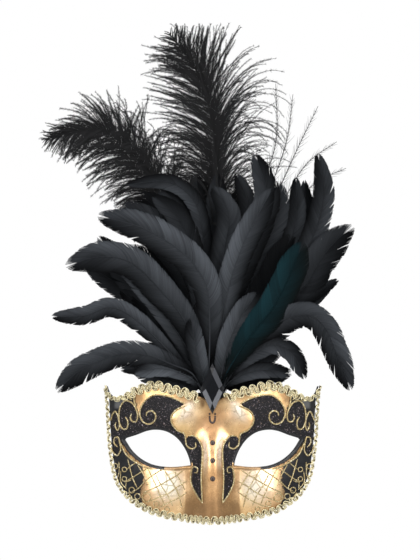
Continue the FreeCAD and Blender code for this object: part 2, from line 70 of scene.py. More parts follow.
# ---- outlines of the right half, (x, z) ----------------------------------------------------------
SHELL_TOP = ((0, 37.5), (9, 40.0), (18.5, 44.0), (28, 46.3), (43.6, 49.8), (56, 46.5),
             (66, 41.0), (73, 38.8), (78, 42.0), (80.5, 47.5))
SHELL_SIDE = ((80.5, 47.5), (78.6, 40), (77.6, 27), (77, 14), (75.3, -4), (72, -21), (66.3, -32.2),
              (58, -39.8), (47.4, -45.9), (34, -50), (17, -52.3), (0, -53.5))
EYE_UPPER = ((67, 8), (57.3, 10.9), (49.4, 13.9), (42.5, 14.9), (34.4, 13.5), (26.4, 8.4),
             (20.4, 0.3), (17.3, -7.5), (16.6, -11.4))
EYE_LOWER = ((16.6, -11.4), (27.5, -12.6), (37.8, -12.3), (45.9, -10.6), (53.9, -6.6),
             (60.8, -0.8), (67, 8))
PANEL = (((20.6, 34.1), (29.3, 38.4), (37.6, 40.4), (44.7, 40.2), (50.2, 36.4), (53.4, 31),
          (54.2, 26.5), (55.2, 23)),
         ((55.2, 23), (56, 26), (57.9, 30.8), (61.2, 35.4), (65.2, 36.4), (68.6, 32.5),
          (69.9, 26.2), (70.8, 23.6)),
         ((70.8, 23.6), (73, 27.4), (75.2, 24.6), (76.3, 19.5), (76.3, 12), (75.3, 3.5), (73, -3.5)),
         ((73, -3.5), (70, 1.5), (69.4, 8.6), (57.6, 12.4), (49.6, 15.4), (42.5, 16.4),
          (33.4, 14.9), (25.2, 9.6), (19, 0.8), (16, -7.2), (14.9, -14)),
         ((14.9, -14), (15.2, -25), (11.6, -33), (7.4, -39), (8.2, -20.3), (7.3, -4.4),
          (7.3, -0.5), (8.6, 5), (13.4, 10.4), (17.6, 10.6), (20, 7.7)),
         ((20, 7.7), (21.6, 12.4), (26.5, 15.2), (30.4, 20.4), (30.4, 25.9), (26.5, 30.3),
          (20.6, 34.1)))


# ---- mesh helpers --------------------------------------------------------------------------------
def smooth_line(points, per=8):
    """A Catmull-Rom line through the points, with about `per` steps between each two."""
    p = np.asarray(points, float)
    ends = np.vstack([2 * p[0] - p[1], p, 2 * p[-1] - p[-2]])
    out = []
    for i in range(1, len(ends) - 2):
        a, b, c, d = ends[i - 1:i + 3]
        knots = [0.0]
        for u, v in ((a, b), (b, c), (c, d)):
            knots.append(knots[-1] + max(np.linalg.norm(v - u), 1e-6) ** 0.5)
        t0, t1, t2, t3 = knots
        for t in np.linspace(t1, t2, per, endpoint=False):
            a1 = (t1 - t) / (t1 - t0) * a + (t - t0) / (t1 - t0) * b
            a2 = (t2 - t) / (t2 - t1) * b + (t - t1) / (t2 - t1) * c
            a3 = (t3 - t) / (t3 - t2) * c + (t - t2) / (t3 - t2) * d
            b1 = (t2 - t) / (t2 - t0) * a1 + (t - t0) / (t2 - t0) * a2
            b2 = (t3 - t) / (t3 - t1) * a2 + (t - t1) / (t3 - t1) * a3
            out.append((t2 - t) / (t2 - t1) * b1 + (t - t1) / (t2 - t1) * b2)
    out.append(p[-1])
    return np.array(out)


def resample(line, count):
    """The same line with evenly spaced points."""
    steps = np.linalg.norm(np.diff(line, axis=0), axis=1)
    length = np.concatenate([[0], np.cumsum(steps)])
    want = np.linspace(0, length[-1], count)
    return np.stack([np.interp(want, length, line[:, k]) for k in range(line.shape[1])], 1)


def line_length(line):
    return float(np.linalg.norm(np.diff(line, axis=0), axis=1).sum())


def unit(vectors, smallest=1e-9):
    """The same directions, one long; vectors shorter than `smallest` stay short."""
    return vectors / np.maximum(np.linalg.norm(vectors, axis=-1, keepdims=True), smallest)


def with_depth(flat, y):
    """3-D points from points of the XZ plane and their depth."""
    return np.stack([flat[..., 0], y, flat[..., 1]], -1)


def set_values(piece, name, values):
    """One number per vertex, which the materials read by name."""
    layer = piece.data.attributes.new(name, "FLOAT", "POINT")
    layer.data.foreach_set("value", values)


def flip(points):
    """The same outline on the other side of the face."""
    out = np.array(points, float)
    out[:, 0] *= -1
    return out[::-1]


def make_object(name, verts, faces, materials, smooth=True, face_slots=None):
    """A mesh piece from millimetre vertices; place() later sets it on the part."""
    mesh = bpy.data.meshes.new(name)
    mesh.from_pydata((np.asarray(verts, float) * MM).tolist(), [], [list(map(int, f)) for f in faces])
    for material in materials:
        mesh.materials.append(material)
    mesh.update()
    mesh.polygons.foreach_set("use_smooth", [smooth] * len(mesh.polygons))
    if face_slots is not None:
        mesh.polygons.foreach_set("material_index", list(face_slots))
    piece = bpy.data.objects.new(name, mesh)
    bpy.context.scene.collection.objects.link(piece)
    return piece


def place(piece, cad_node):
    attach(piece, BODY)
    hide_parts(cad_node)


def set_cad(name, mat):
    """Keeps a CAD node and gives it a material."""
    mesh = NODES[name].data
    mesh.materials.clear()
    mesh.materials.append(mat)


def box_mm(name):
    """Lowest and highest corner of a CAD node, in millimetres."""
    low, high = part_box(name)
    return np.array(low) / MM, np.array(high) / MM


class Builder:
    """Collects vertices and faces of many small parts into one mesh, with one value per vertex."""

    def __init__(self):
        self.verts, self.faces, self.values, self.count = [], [], [], 0

    def add(self, verts, faces, value=0.0):
        self.verts.append(np.asarray(verts, float))
        self.faces.extend((np.asarray(faces) + self.count).tolist())
        self.values.append(np.broadcast_to(value, len(verts)).astype(float))
        self.count += len(verts)

    def tube(self, line, radius, sides=6, value=0.0):
        """A round tube along a 3-D line; radius is a number or one per point."""
        p = np.asarray(line, float)
        n = len(p)
        radius = np.broadcast_to(radius, n)
        along = unit(np.gradient(p, axis=0))
        side = np.cross(along, (0.0, 1.0, 0.0))
        weak = np.linalg.norm(side, axis=1) < 0.1
        side[weak] = np.cross(along[weak], (1.0, 0.0, 0.0))
        side = unit(side)
        up = np.cross(side, along)
        turn = np.arange(sides) * 2 * math.pi / sides
        ring = side[:, None] * np.cos(turn)[None, :, None] + up[:, None] * np.sin(turn)[None, :, None]
        verts = (p[:, None] + ring * radius[:, None, None]).reshape(-1, 3)
        faces = []
        for i in range(n - 1):
            for k in range(sides):
                a, b = i * sides + k, i * sides + (k + 1) % sides
                faces.append((a, b, b + sides, a + sides))
        base = self.count
        self.add(verts, faces, value)
        self.faces.append([base + k for k in range(sides)][::-1])
        self.faces.append([base + (n - 1) * sides + k for k in range(sides)])

    def finish(self, name, materials, attribute=None, smooth=True):
        piece = make_object(name, np.vstack(self.verts), self.faces, materials, smooth)
        if attribute:
            set_values(piece, attribute, np.concatenate(self.values))
        return piece


def blend(low, high, t):
    """A smooth step: 0 at low, 1 at high."""
    s = np.clip((t - low) / (high - low), 0, 1)
    return s * s * (3 - 2 * s)


def bump(x, z, cx, cz, wide, tall):
    """A soft round hill on both sides of the face."""
    return np.exp(-((np.abs(x) - cx) / wide) ** 2 - ((z - cz) / tall) ** 2)


def mask_depth(x, z):
    """Y of the front of the face."""
    x, z = np.asarray(x, float), np.asarray(z, float)
    y = ARCH_DEPTH * (1 - np.sqrt(np.maximum(1 - (x / HALF_WIDTH) ** 2, 0))) + VERTICAL_BOW * z * z
    rise = NOSE_RISE * blend(-NOSE_TOP, NOSE_LENGTH - NOSE_TOP, -z) ** 0.8
    half = NOSE_NARROW + (NOSE_WIDE - NOSE_NARROW) * np.clip((-z - 5) / 45, 0, 1)
    y = y - rise * np.exp(-(np.abs(x) / half) ** 2.3)
    y = y - 3.6 * bump(x, z, 27, 24, 12, 11)
    y = y + 4.6 * bump(x, z, 44, 1, 20, 13)
    return y - 4.6 * bump(x, z, 44, -32, 20, 14)


def face_normal(x, z):
    """Outward unit normals of the face."""
    h = 0.15   # how far apart the depths are read
    gx = (mask_depth(x + h, z) - mask_depth(x - h, z)) / (2 * h)
    gz = (mask_depth(x, z + h) - mask_depth(x, z - h)) / (2 * h)
    n = np.stack([gx, -np.ones_like(gx), gz], -1)
    return unit(n)


def on_face(x, z, lift):
    """Points that stand `lift` out of the face above (x, z)."""
    x, z = np.asarray(x, float), np.asarray(z, float)
    base = np.stack([x, mask_depth(x, z), z], -1)
    return base + face_normal(x, z) * np.asarray(lift, float)[..., None]


def inside(points, loop):
    """Which points lie inside a closed loop."""
    x, y = points[:, 0], points[:, 1]
    hit = np.zeros(len(points), bool)
    px, py = loop[-1]
    for qx, qy in loop:
        cross = ((qy > y) != (py > y)) & (x < (px - qx) * (y - qy) / (py - qy + 1e-12) + qx)
        hit ^= cross
        px, py = qx, qy
    return hit


def distance_to(points, line):
    """Distance in the XZ plane from each point to the nearest point of a finely drawn line."""
    tree = kdtree.KDTree(len(line))
    for i, (x, z) in enumerate(line):
        tree.insert((x, z, 0), i)
    tree.balance()
    return np.array([tree.find((x, z, 0))[2] for x, z in points])


def closed(*parts, step=0.8):
    """One closed loop from several smooth runs, evenly spaced."""
    runs = []
    for part in parts:
        line = smooth_line(part)
        runs.append(resample(line, max(3, int(line_length(line) / step) + 1))[:-1])
    return np.vstack(runs)


def sheet_mesh(outline, holes, step):
    """Triangles that fill an outline with holes, with a regular grid of points inside."""
    loops = [outline] + list(holes)
    edge = np.vstack(loops)
    low, high = outline.min(0), outline.max(0)
    gx, gz = np.meshgrid(np.arange(low[0], high[0], step), np.arange(low[1], high[1], step))
    gx[1::2] += step / 2
    grid = np.stack([gx.ravel(), gz.ravel()], 1)
    keep = inside(grid, outline)
    for hole in holes:
        keep &= ~inside(grid, hole)
    grid = grid[keep]
    grid = grid[distance_to(grid, edge) > 0.55 * step]
    points = np.vstack([edge, grid])
    edges, start = [], 0
    for loop in loops:
        n = len(loop)
        edges += [(start + i, start + (i + 1) % n) for i in range(n)]
        start += n
    out = geometry.delaunay_2d_cdt([Vector(p) for p in points], edges, [], 0, 1e-5)
    verts = np.array([tuple(v) for v in out[0]])
    faces = np.array(out[2])
    middle = verts[faces].mean(1)
    keep = inside(middle, outline)
    for hole in holes:
        keep &= ~inside(middle, hole)
    return verts, faces[keep]


def thick_sheet(flat, faces, front, back):
    """Front and back skins joined round every open edge. Returns verts, faces, slot per face."""
    n = len(flat)
    used = {}
    for a, b, c in faces:
        for u, v in ((a, b), (b, c), (c, a)):
            used[(u, v)] = used.get((u, v), 0) + 1
    a, b, c = flat[faces[0][0]], flat[faces[0][1]], flat[faces[0][2]]
    area = (b[0] - a[0]) * (c[1] - a[1]) - (b[1] - a[1]) * (c[0] - a[0])
    front_faces = faces if area > 0 else faces[:, ::-1]
    rim = [(u, v) for (u, v) in used if (v, u) not in used]
    walls = [(v, u, u + n, v + n) for u, v in rim] if area > 0 else [(u, v, v + n, u + n) for u, v in rim]
    all_faces = front_faces.tolist() + (front_faces[:, ::-1] + n).tolist() + walls
    slots = [0] * len(faces) + [1] * len(faces) + [2] * len(walls)
    return np.vstack([front, back]), all_faces, slots


def wobble(x, z, seed, scale):
    """Slow, smooth unevenness between -1 and 1."""
    rng = np.random.default_rng(seed)
    total = np.zeros_like(x)
    for _ in range(7):
        angle, phase = rng.uniform(0, math.pi), rng.uniform(0, 2 * math.pi)
        pitch = scale * rng.uniform(0.6, 1.7)
        total += np.sin((x * math.cos(angle) + z * math.sin(angle)) * 2 * math.pi / pitch + phase)
    return total / 3.2


# ---- materials -------------------------------------------------------------------------------------
def material(name, color, roughness, metallic=0.0, specular=0.5):
    mat = bpy.data.materials.new(name)
    mat.use_nodes = True
    shader = mat.node_tree.nodes["Principled BSDF"]
    shader.inputs["Base Color"].default_value = (*color, 1)
    shader.inputs["Roughness"].default_value = roughness
    shader.inputs["Metallic"].default_value = metallic
    shader.inputs["Specular IOR Level"].default_value = specular
    return mat, mat.node_tree, shader


def node(tree, kind, **settings):
    made = tree.nodes.new(kind)
    for key, value in settings.items():
        if hasattr(made, key):
            setattr(made, key, value)
        else:
            made.inputs[key.replace("_", " ")].default_value = value
    return made


def position(tree):
    return node(tree, "ShaderNodeTexCoord").outputs["Object"]


def noise(tree, where, scale, detail=2.0, rough=0.5):
    made = node(tree, "ShaderNodeTexNoise", Scale=scale, Detail=detail, Roughness=rough)
    tree.links.new(where, made.inputs["Vector"])
    return made.outputs["Fac"]


def ramp(tree, value, *stops):
    """A colour ramp; each stop is (position, colour or grey)."""
    made = node(tree, "ShaderNodeValToRGB")
    marks = made.color_ramp.elements
    while len(marks) < len(stops):
        marks.new(0.5)
    for mark, (place_at, color) in zip(marks, stops):
        mark.position = place_at
        mark.color = (color, color, color, 1) if isinstance(color, (int, float)) else (*color, 1)
    tree.links.new(value, made.inputs["Fac"])
    return made.outputs["Color"]


def mix(tree, factor, first, second):
    made = node(tree, "ShaderNodeMix", data_type="RGBA")
    for socket, value in ((made.inputs["Factor"], factor), (made.inputs["A"], first),
                          (made.inputs["B"], second)):
        if hasattr(value, "links"):
            tree.links.new(value, socket)
        elif isinstance(value, (int, float)):
            socket.default_value = value
        else:
            socket.default_value = (*value, 1)
    return made.outputs["Result"]


def maths(tree, operation, *values):
    made = node(tree, "ShaderNodeMath", operation=operation)
    for socket, value in zip(made.inputs, values):
        if hasattr(value, "links"):
            tree.links.new(value, socket)
        else:
            socket.default_value = value
    return made.outputs[0]


def add_bump(tree, shader, height, distance, strength=1.0):
    made = node(tree, "ShaderNodeBump", Strength=strength, Distance=distance)
    tree.links.new(height, made.inputs["Height"])
    tree.links.new(made.outputs["Normal"], shader.inputs["Normal"])


def attribute(tree, name):
    return node(tree, "ShaderNodeAttribute", attribute_name=name).outputs["Fac"]


def gold_shell_material():
    """Rubbed gold foil with copper tints, dark wear and painted shadow, pale gold with painted highlights,
    fading into black paint.
    """
    mat, tree, shader = material("gold_foil", (0.75, 0.5, 0.24), 0.3, 1.0, specular=0.3)
    where = position(tree)
    patches = noise(tree, where, 60, 4, 0.6)
    gold = ramp(tree, patches, (0.3, (0.50, 0.31, 0.13)), (0.5, (0.66, 0.45, 0.21)),
                (0.72, (0.82, 0.62, 0.34)))
    # pale gold of the cheeks, and painted highlights on the nose and brow lobes
    gold = mix(tree, attribute(tree, "pale_and_highlight"), gold, (0.99, 0.95, 0.82))
    copper = mix(tree, attribute(tree, "copper"), gold, (0.60, 0.31, 0.15))
    grain = noise(tree, where, 900, 3, 0.7)
    worn = maths(tree, "MULTIPLY_ADD", grain, 0.8, -0.4)
    wear_and_shade = maths(tree, "ADD", attribute(tree, "wear_and_shade"), worn)
    # dark wear and painted shadow, both from one value
    dark = ramp(tree, wear_and_shade, (0.35, 0.0), (1.0, 0.9))
    cells = node(tree, "ShaderNodeTexVoronoi", feature="DISTANCE_TO_EDGE", Scale=150.0)
    tree.links.new(where, cells.inputs["Vector"])
    crackle = maths(tree, "MULTIPLY", ramp(tree, cells.outputs["Distance"], (0.02, 0.75), (0.09, 0.0)),
                    attribute(tree, "pale_and_highlight"))
    worn_and_shaded = mix(tree, dark, mix(tree, crackle, copper, (0.34, 0.27, 0.14)), (0.24, 0.14, 0.065))
    blotch = maths(tree, "MULTIPLY_ADD", noise(tree, where, 420, 5, 0.75), 0.9, -0.45)
    painted = ramp(tree, maths(tree, "ADD", attribute(tree, "black"), blotch), (0.44, 0.0), (0.56, 1.0))
    paint = mix(tree, attribute(tree, "grey"), (0.006, 0.006, 0.007), (0.11, 0.11, 0.11))
    tree.links.new(mix(tree, painted, worn_and_shaded, paint), shader.inputs["Base Color"])
    foil = maths(tree, "MULTIPLY_ADD", attribute(tree, "pale_and_highlight"), -0.6, 1.0)
    tree.links.new(maths(tree, "MULTIPLY", foil, maths(tree, "SUBTRACT", 1.0, painted)),
                   shader.inputs["Metallic"])
    rough = ramp(tree, noise(tree, where, 160, 3, 0.6), (0.3, 0.22), (0.75, 0.42))
    rough = maths(tree, "ADD", rough, maths(tree, "MULTIPLY", attribute(tree, "matte"), 0.3))
    tree.links.new(rough, shader.inputs["Roughness"])
    add_bump(tree, shader, grain, 0.00012, 0.35)
    return mat


def paint_material(name, color, roughness, scale, depth):
    mat, tree, shader = material(name, color, roughness)
    tint = ramp(tree, noise(tree, position(tree), scale, 4, 0.6),
                (0.3, tuple(c * 0.6 for c in color)), (0.7, tuple(min(1, c * 1.5) for c in color)))
    tree.links.new(tint, shader.inputs["Base Color"])
    add_bump(tree, shader, noise(tree, position(tree), scale * 4, 3, 0.6), depth, 0.6)
    return mat


def glitter_material(name, base, sparks, spark_share, roughness, metallic, specular=0.5):
    """Grains of glitter: each vertex carries a random value, and the few highest ones are bright."""
    mat, tree, shader = material(name, base, roughness, metallic, specular)
    value = attribute(tree, "spark")
    hue = noise(tree, position(tree), 1300, 0)
    bright = mix(tree, ramp(tree, hue, (0.4, 0.0), (0.6, 1.0)), sparks[0], sparks[1])
    lit = ramp(tree, value, (1 - spark_share, 0.0), (1 - spark_share * 0.4, 1.0))
    tree.links.new(mix(tree, lit, base, bright), shader.inputs["Base Color"])
    return mat


def braid_material():
    mat, tree, shader = material("gold_gimp", (0.7, 0.6, 0.32), 0.34, 0.6)
    # painted highlight and shade: the twist value makes each turn of the foil dark at 0 and bright at 1; the
    # cord laid under the others gets 0
    shade = ramp(tree, attribute(tree, "twist"), (0.0, (0.07, 0.045, 0.015)), (0.4, (0.74, 0.64, 0.36)),
                 (1.0, (1.0, 0.95, 0.72)))
    tree.links.new(shade, shader.inputs["Base Color"])
    return mat


FEATHER_GLOSS = 0.025


def feather_material(name, dark, light):
    """Black vane with painted light and shade: each barb's value picks its colour from dark to light."""
    mat, tree, shader = material(name, dark, 0.5, specular=FEATHER_GLOSS)
    painted_light_tone = ramp(tree, attribute(tree, "painted_light_tone"), (0.0, dark), (1.0, light))
    tree.links.new(painted_light_tone, shader.inputs["Base Color"])
    return mat


def plain_material(name, color, roughness, specular=0.5, sheen=0.0):
    mat, tree, shader = material(name, color, roughness, specular=specular)
    shader.inputs["Sheen Weight"].default_value = sheen
    return mat


# ---- shell -------------------------------------------------------------------------------------------
SHELL_STEP = 1.1
RIM_HEIGHT = 0.55
TEMPLE_BLACK = ((57, 52), (58.6, 40), (57, 34), (55.4, 27), (55, 22), (57, 17), (66, 12.5), (68.5, 6),
                (66, -1.5), (60.5, -7), (53.5, -11.6), (51.5, -17), (52, -26), (54.5, -33), (52.5, -39),
                (48.5, -43.5), (44, -47), (42, -60), (90, -60), (90, 60))


def signed_inside(points, loop):
    """Distance to the loop's border, positive inside and negative outside."""
    line = np.vstack([resample(np.vstack([a, b]), 12) for a, b in zip(loop, np.roll(loop, -1, 0))])
    return distance_to(points, line) * np.where(inside(points, loop), 1, -1)


def make_shell():
    side = list(SHELL_SIDE) + [tuple(p) for p in flip(SHELL_SIDE)][1:]
    outline = closed(SHELL_TOP, side, flip(SHELL_TOP))
    eye = closed(EYE_UPPER, EYE_LOWER)
    holes = [eye, flip(eye)]
    flat, faces = sheet_mesh(outline, holes, SHELL_STEP)
    x, z = flat[:, 0], flat[:, 1]
    half = np.stack([np.abs(x), z], 1)
    to_eye = distance_to(flat, np.vstack(holes))
    to_edge = distance_to(flat, outline)
    lift = 0.06 * wobble(x, z, 3, 9) + 1.3 * bump(x, z, 16, 27, 6.5, 9)
    lift = lift + RIM_HEIGHT * np.exp(-((to_eye - 1.3) / 1.1) ** 2)
    lift = lift - 0.5 * np.exp(-(to_eye / 0.5) ** 2) - 0.4 * np.exp(-(to_edge / 0.6) ** 2)
    front = on_face(x, z, lift)
    back = on_face(x, z, lift * 0 - WALL)
    verts, all_faces, slots = thick_sheet(flat, faces, front, back)
    inner = paint_material("inner_black_paint", (0.012, 0.012, 0.013), 0.6, 300, 0.0001)
    shell = make_object("shell_body", verts, all_faces, [gold_shell_material(), inner, inner],
                        face_slots=slots)
    # what each colour covers: black paint, worn gold with painted shadow, copper tint, pale gold with painted
    # highlights, grey patch, matt gold
    above_corners = z > np.interp(half[:, 0], [16.6, 67], [-11, 8]) + 1
    temple = signed_inside(half, np.array(TEMPLE_BLACK, float))
    strip = blend(75.5, 77.5, half[:, 0]) * blend(18, 25, z)
    upper_rim = np.where(above_corners, 3.2 - to_eye, -9)
    rim = np.minimum((2.6 - to_eye) / 2.2, (half[:, 0] - 36) / 7)
    black = 0.5 + np.maximum(np.maximum(temple / 9, rim), upper_rim / 4) - strip
    brown = np.exp(np.minimum(temple, 0) / 4.5) * np.where(z < 0, 1, 0.3)
    low_rim = blend(3.2, 2.2, to_eye) * ~above_corners
    matte = blend(-9, -19, z) * blend(21.5, 19.5, half[:, 0])
    wear_and_shade = 0.30 + 0.30 * np.exp(-to_edge / 4.5) + 1.0 * low_rim + 0.55 * brown
    wear_and_shade += (0.52 + 0.1 * blend(-30, -46, z)) * matte + 0.16 * bump(x, z, 0, 14, 5, 10)
    # painted shadow: darker low on each side of the nose, near its foot; also darker towards the top edge, with
    # a slow random unevenness
    wear_and_shade += 0.4 * bump(x, z, 19, -47, 3.5, 5) + 0.4 * blend(33, 40, z) + 0.12 * wobble(x, z, 8, 16)
    wear_and_shade += 0.4 * bump(x, z, 55, 40, 4, 9)
    wear_and_shade += 0.9 * np.exp(-((x + 7.5) / 1.7) ** 2 - ((z - 34.5) / 3.0) ** 2)
    wear_and_shade -= 0.25 * bump(x, z, 34, -26, 11, 12)
    copper = np.clip(0.2 + 0.45 * bump(x, z, 0, -20, 7, 30) + 0.55 * bump(x, z, 0, 20, 12, 12)
                     + 0.35 * bump(x, z, 48, -22, 5, 16) + 0.15 * wobble(x, z, 12, 24), 0, 1)
    # painted highlights: a diagonal streak and a brighter dome on each brow lobe, and a narrow upright streak
    # beside the nose ridge; the pale centre of the cheeks is the foil's own pale gold
    painted_highlight_streak = np.exp(-(((half[:, 0] - 19) * 0.8 + (z - 31) * 0.6) / 3.0) ** 2)
    pale_and_highlight = np.clip(1.1 * bump(x, z, 34, -25, 11, 12) + 0.9 * painted_highlight_streak * bump(x, z, 17, 28, 8, 9)
                   + 0.4 * bump(x, z, 18, 28, 7, 7) + 0.9 * bump(x, z, 5.5, 0, 2.4, 13), 0, 1)
    grey = blend(0, 2, 5 - np.abs(half[:, 0] - 69.5)) * blend(0, 2, 4.5 - np.abs(z - 34.5))
    for name, value in (("black", black), ("wear_and_shade", wear_and_shade), ("copper", copper), ("pale_and_highlight", pale_and_highlight),
                        ("grey", grey), ("matte", matte)):
        set_values(shell, name, np.concatenate([value, value]))
    place(shell, "mask_shell")


# ---- glitter panels and raised lines -----------------------------------------------------------------
PANEL_STEP = 0.52
PANEL_LIFT = 0.42
GRAIN = 0.16
SCROLLS = (
    ((20.6, 34.4), (29.3, 38.8), (37.6, 40.9), (44.7, 40.7), (50.4, 36.6), (53.9, 30.8),
     (54.3, 25.9), (51.8, 20.8), (46.9, 19.3), (43, 22.2), (42.6, 26.5), (45.6, 29.2), (48.9, 28),
     (49.6, 25.4)),
    ((19.2, 33), (26.5, 30.3), (30.4, 25.9), (30.4, 20.4), (26.5, 15), (21.1, 12.2), (20, 7.7),
     (19.2, 3.4), (15.5, 0.9), (12.3, 2.4), (12.6, 5.8)),
    ((17.6, 10.6), (13.4, 10.5), (8.6, 5), (7.3, -0.5), (7.3, -4.4), (8, -20.3), (7.2, -39.5)),
    ((7.2, -39.5), (11.8, -33), (15.6, -25), (15.8, -17), (13.6, -12.6), (10.8, -13.8),
     (11.2, -16.8), (13.2, -17)),
    ((65.2, 24.4), (63.4, 21), (64.4, 15.6), (67.2, 15.6), (69.6, 20), (70, 26.5), (68.6, 33),
     (65.2, 36.6), (60.8, 35.4), (57.4, 30.8), (56, 25.6), (57, 21.3), (60, 21.2), (61.4, 24.4),
     (60.4, 26.8)),
    ((78.4, 24.8), (76.4, 21.8), (75.2, 25.4), (73, 28.5), (70.8, 24.6), (69.7, 17.3), (71.1, 14.3),
     (72.8, 17.6), (72.3, 20.4)),
    ((71.1, 1.7), (73.6, 4.6), (73.2, 8.6), (70.9, 9.2), (69.5, 5), (68.9, -0.5), (71.4, -4.7),
     (75, -1.5), (76, 2.4)),
    ((69, 5), (65, -3.4), (60, -8), (52.5, -12.4), (45, -14.6)),
    ((60.2, 37.2), (63.2, 39.6), (61.4, 41.6), (59, 40), (58.6, 36.2), (57.2, 31.5)),
)


def make_panels(line_material):
    glitter = glitter_material("black_glitter", (0.006, 0.005, 0.006),
                               ((0.30, 0.26, 0.30), (0.20, 0.14, 0.11)), 0.2, 0.5, 0.0, specular=0.2)
    outline = closed(*PANEL, step=0.7)
    flat, faces = sheet_mesh(outline, [], PANEL_STEP)
    for side, sign in (("right", 1), ("left", -1)):
        rng = np.random.default_rng(20 + sign)
        x, z = flat[:, 0] * sign, flat[:, 1]
        rim = np.clip(distance_to(flat, outline) / 0.6, 0, 1)
        front = on_face(x, z, PANEL_LIFT * (0.35 + 0.65 * rim) + rng.uniform(-GRAIN, GRAIN, len(x)) * rim)
        back = on_face(x, z, 0 * x + 0.03)
        points = np.stack([x, z], 1)
        verts, all_faces, _ = thick_sheet(points, faces, front, back)
        panel = make_object("black_glitter_" + side, verts, all_faces, [glitter], smooth=False)
        set_values(panel, "spark", rng.uniform(0, 1, len(verts)))
        place(panel, "glitter_panel_" + side)
        lines = Builder()
        for points in SCROLLS:
            relief_line(lines, points, sign, 0.62, 0.42, rng)
        place(lines.finish("raised_scrolls_" + side, [line_material], "spark", smooth=False),
              "scroll_relief_" + side)


RELIEF_STEP = 0.45
RELIEF_SIDES = 7
END_TAPER = 2.0          # length over which a line of paste thins out at its ends


def relief_line(builder, points, sign, radius, lift, rng, taper=True):
    """A rounded line of paste along the face, a little uneven, thinner at its ends."""
    line = smooth_line(points, 10)
    count = max(6, int(line_length(line) / RELIEF_STEP))
    line = resample(line, count)
    wide = radius * (1 + 0.14 * rng.uniform(-1, 1, count))
    if taper:
        ends = np.minimum(np.arange(count), np.arange(count)[::-1]) * RELIEF_STEP
        wide = wide * (0.5 + 0.5 * np.clip(ends / END_TAPER, 0, 1))
    body = on_face(line[:, 0] * sign, line[:, 1], lift)
    builder.tube(body, wide, RELIEF_SIDES, value=rng.uniform(0, 1, count * RELIEF_SIDES))


LATTICE_DOWN = (((63.6, -7.5), (60, -21.7), (56.5, -28.7)), ((55.8, -12), (51.9, -19.2), (48.5, -27)),
                ((48.5, -14.5), (45, -22), (39.5, -33), (36, -41)),
                ((42.4, -18.8), (38.1, -26.6), (33.5, -33.7), (30, -42)),
                ((36, -15), (30.3, -23), (26, -33), (23, -43)), ((30, -14.5), (25, -21), (20.5, -30)))
LATTICE_ACROSS = (((64.3, -14.9), (61.5, -12.8), (57.5, -10.1)),
                  ((66, -24.5), (60.1, -21.3), (53.7, -16.7), (48, -13)),
                  ((60.5, -31.5), (55.8, -28.7), (50.2, -23.4), (43, -18), (36.5, -14)),
                  ((52, -32), (45, -29), (38.1, -25.5), (28.2, -19.5), (22, -15.5)),
                  ((47, -38.5), (40, -35.5), (33.2, -32.3), (25.8, -27.3), (19.5, -23.5)),
                  ((40, -43), (32, -39.5), (24, -35), (19, -31.5)))
LATTICE_RINGS = ((73, -12.8, 2.4), (66.1, -15.1, 2.1), (66.1, -22.2, 2.1), (60.5, -30.5, 2.5),
                 (56.2, -35.1, 2.5), (49.4, -35.8, 3.6), (42, -40.5, 2.4), (34, -44.5, 2.2))
LATTICE_CURLS = (((70.7, -9.6), (70.3, -14.6), (71, -19.2), (72.5, -22.4)),
                 ((68.9, -16.4), (68.9, -24.5), (64.3, -30.1)),
                 ((63.2, -32.3), (58.3, -38.6), (51.9, -41.5)), ((65, -24.5), (65, -29.4)),
                 ((67.9, -23.8), (64, -24.2), (60.5, -23)))


def make_lattice(line_material):
    for side, sign in (("right", 1), ("left", -1)):
        rng = np.random.default_rng(40 + sign)
        lines = Builder()
        for line in LATTICE_DOWN + LATTICE_ACROSS + LATTICE_CURLS:
            line = np.array(line, float) + rng.uniform(-0.35, 0.35, (len(line), 2))
            relief_line(lines, line, sign, 0.45, 0.12, rng)
        for x, z, radius in LATTICE_RINGS:
            turn = np.linspace(0, 2 * math.pi, 9)
            ring = np.stack([x + (radius - 0.4) * np.cos(turn), z + (radius - 0.4) * np.sin(turn)], 1)
            relief_line(lines, ring, sign, 0.42, 0.2, rng, taper=False)
        place(lines.finish("cheek_lines_" + side, [line_material], "spark", smooth=False),
              "cheek_lattice_" + side)


# ---- braid ------------------------------------------------------------------------------------------
def inset(points, distance):
    """The line moved inwards, square to itself."""
    p = np.asarray(points, float)
    along = unit(np.gradient(p, axis=0))
    return p + np.stack([along[:, 1], -along[:, 0]], 1) * distance


def gimp_path(length, offset, turn_radius, straight):
    """One cord of a serpentine gimp: (distance along, distance across), with half-round turns."""
    periods = max(1, round(length / (4 * turn_radius)))
    fit = length / (4 * turn_radius * periods)
    points = []
    for k in range(periods * 2):
        centre = (2 * k + 1) * turn_radius
        up = k % 2 == 0
        radius = turn_radius + (offset if up else -offset)
        for a in np.linspace(math.pi, 0, 8):
            level = straight / 2 + radius * math.sin(a)
            points.append((centre + radius * math.cos(a), level if up else -level))
    path = np.array(points)
    path[:, 0] *= fit
    return path


CORD_STEP = 0.4
TWIST_PITCH = 1.25       # length of one turn of the foil round its cord


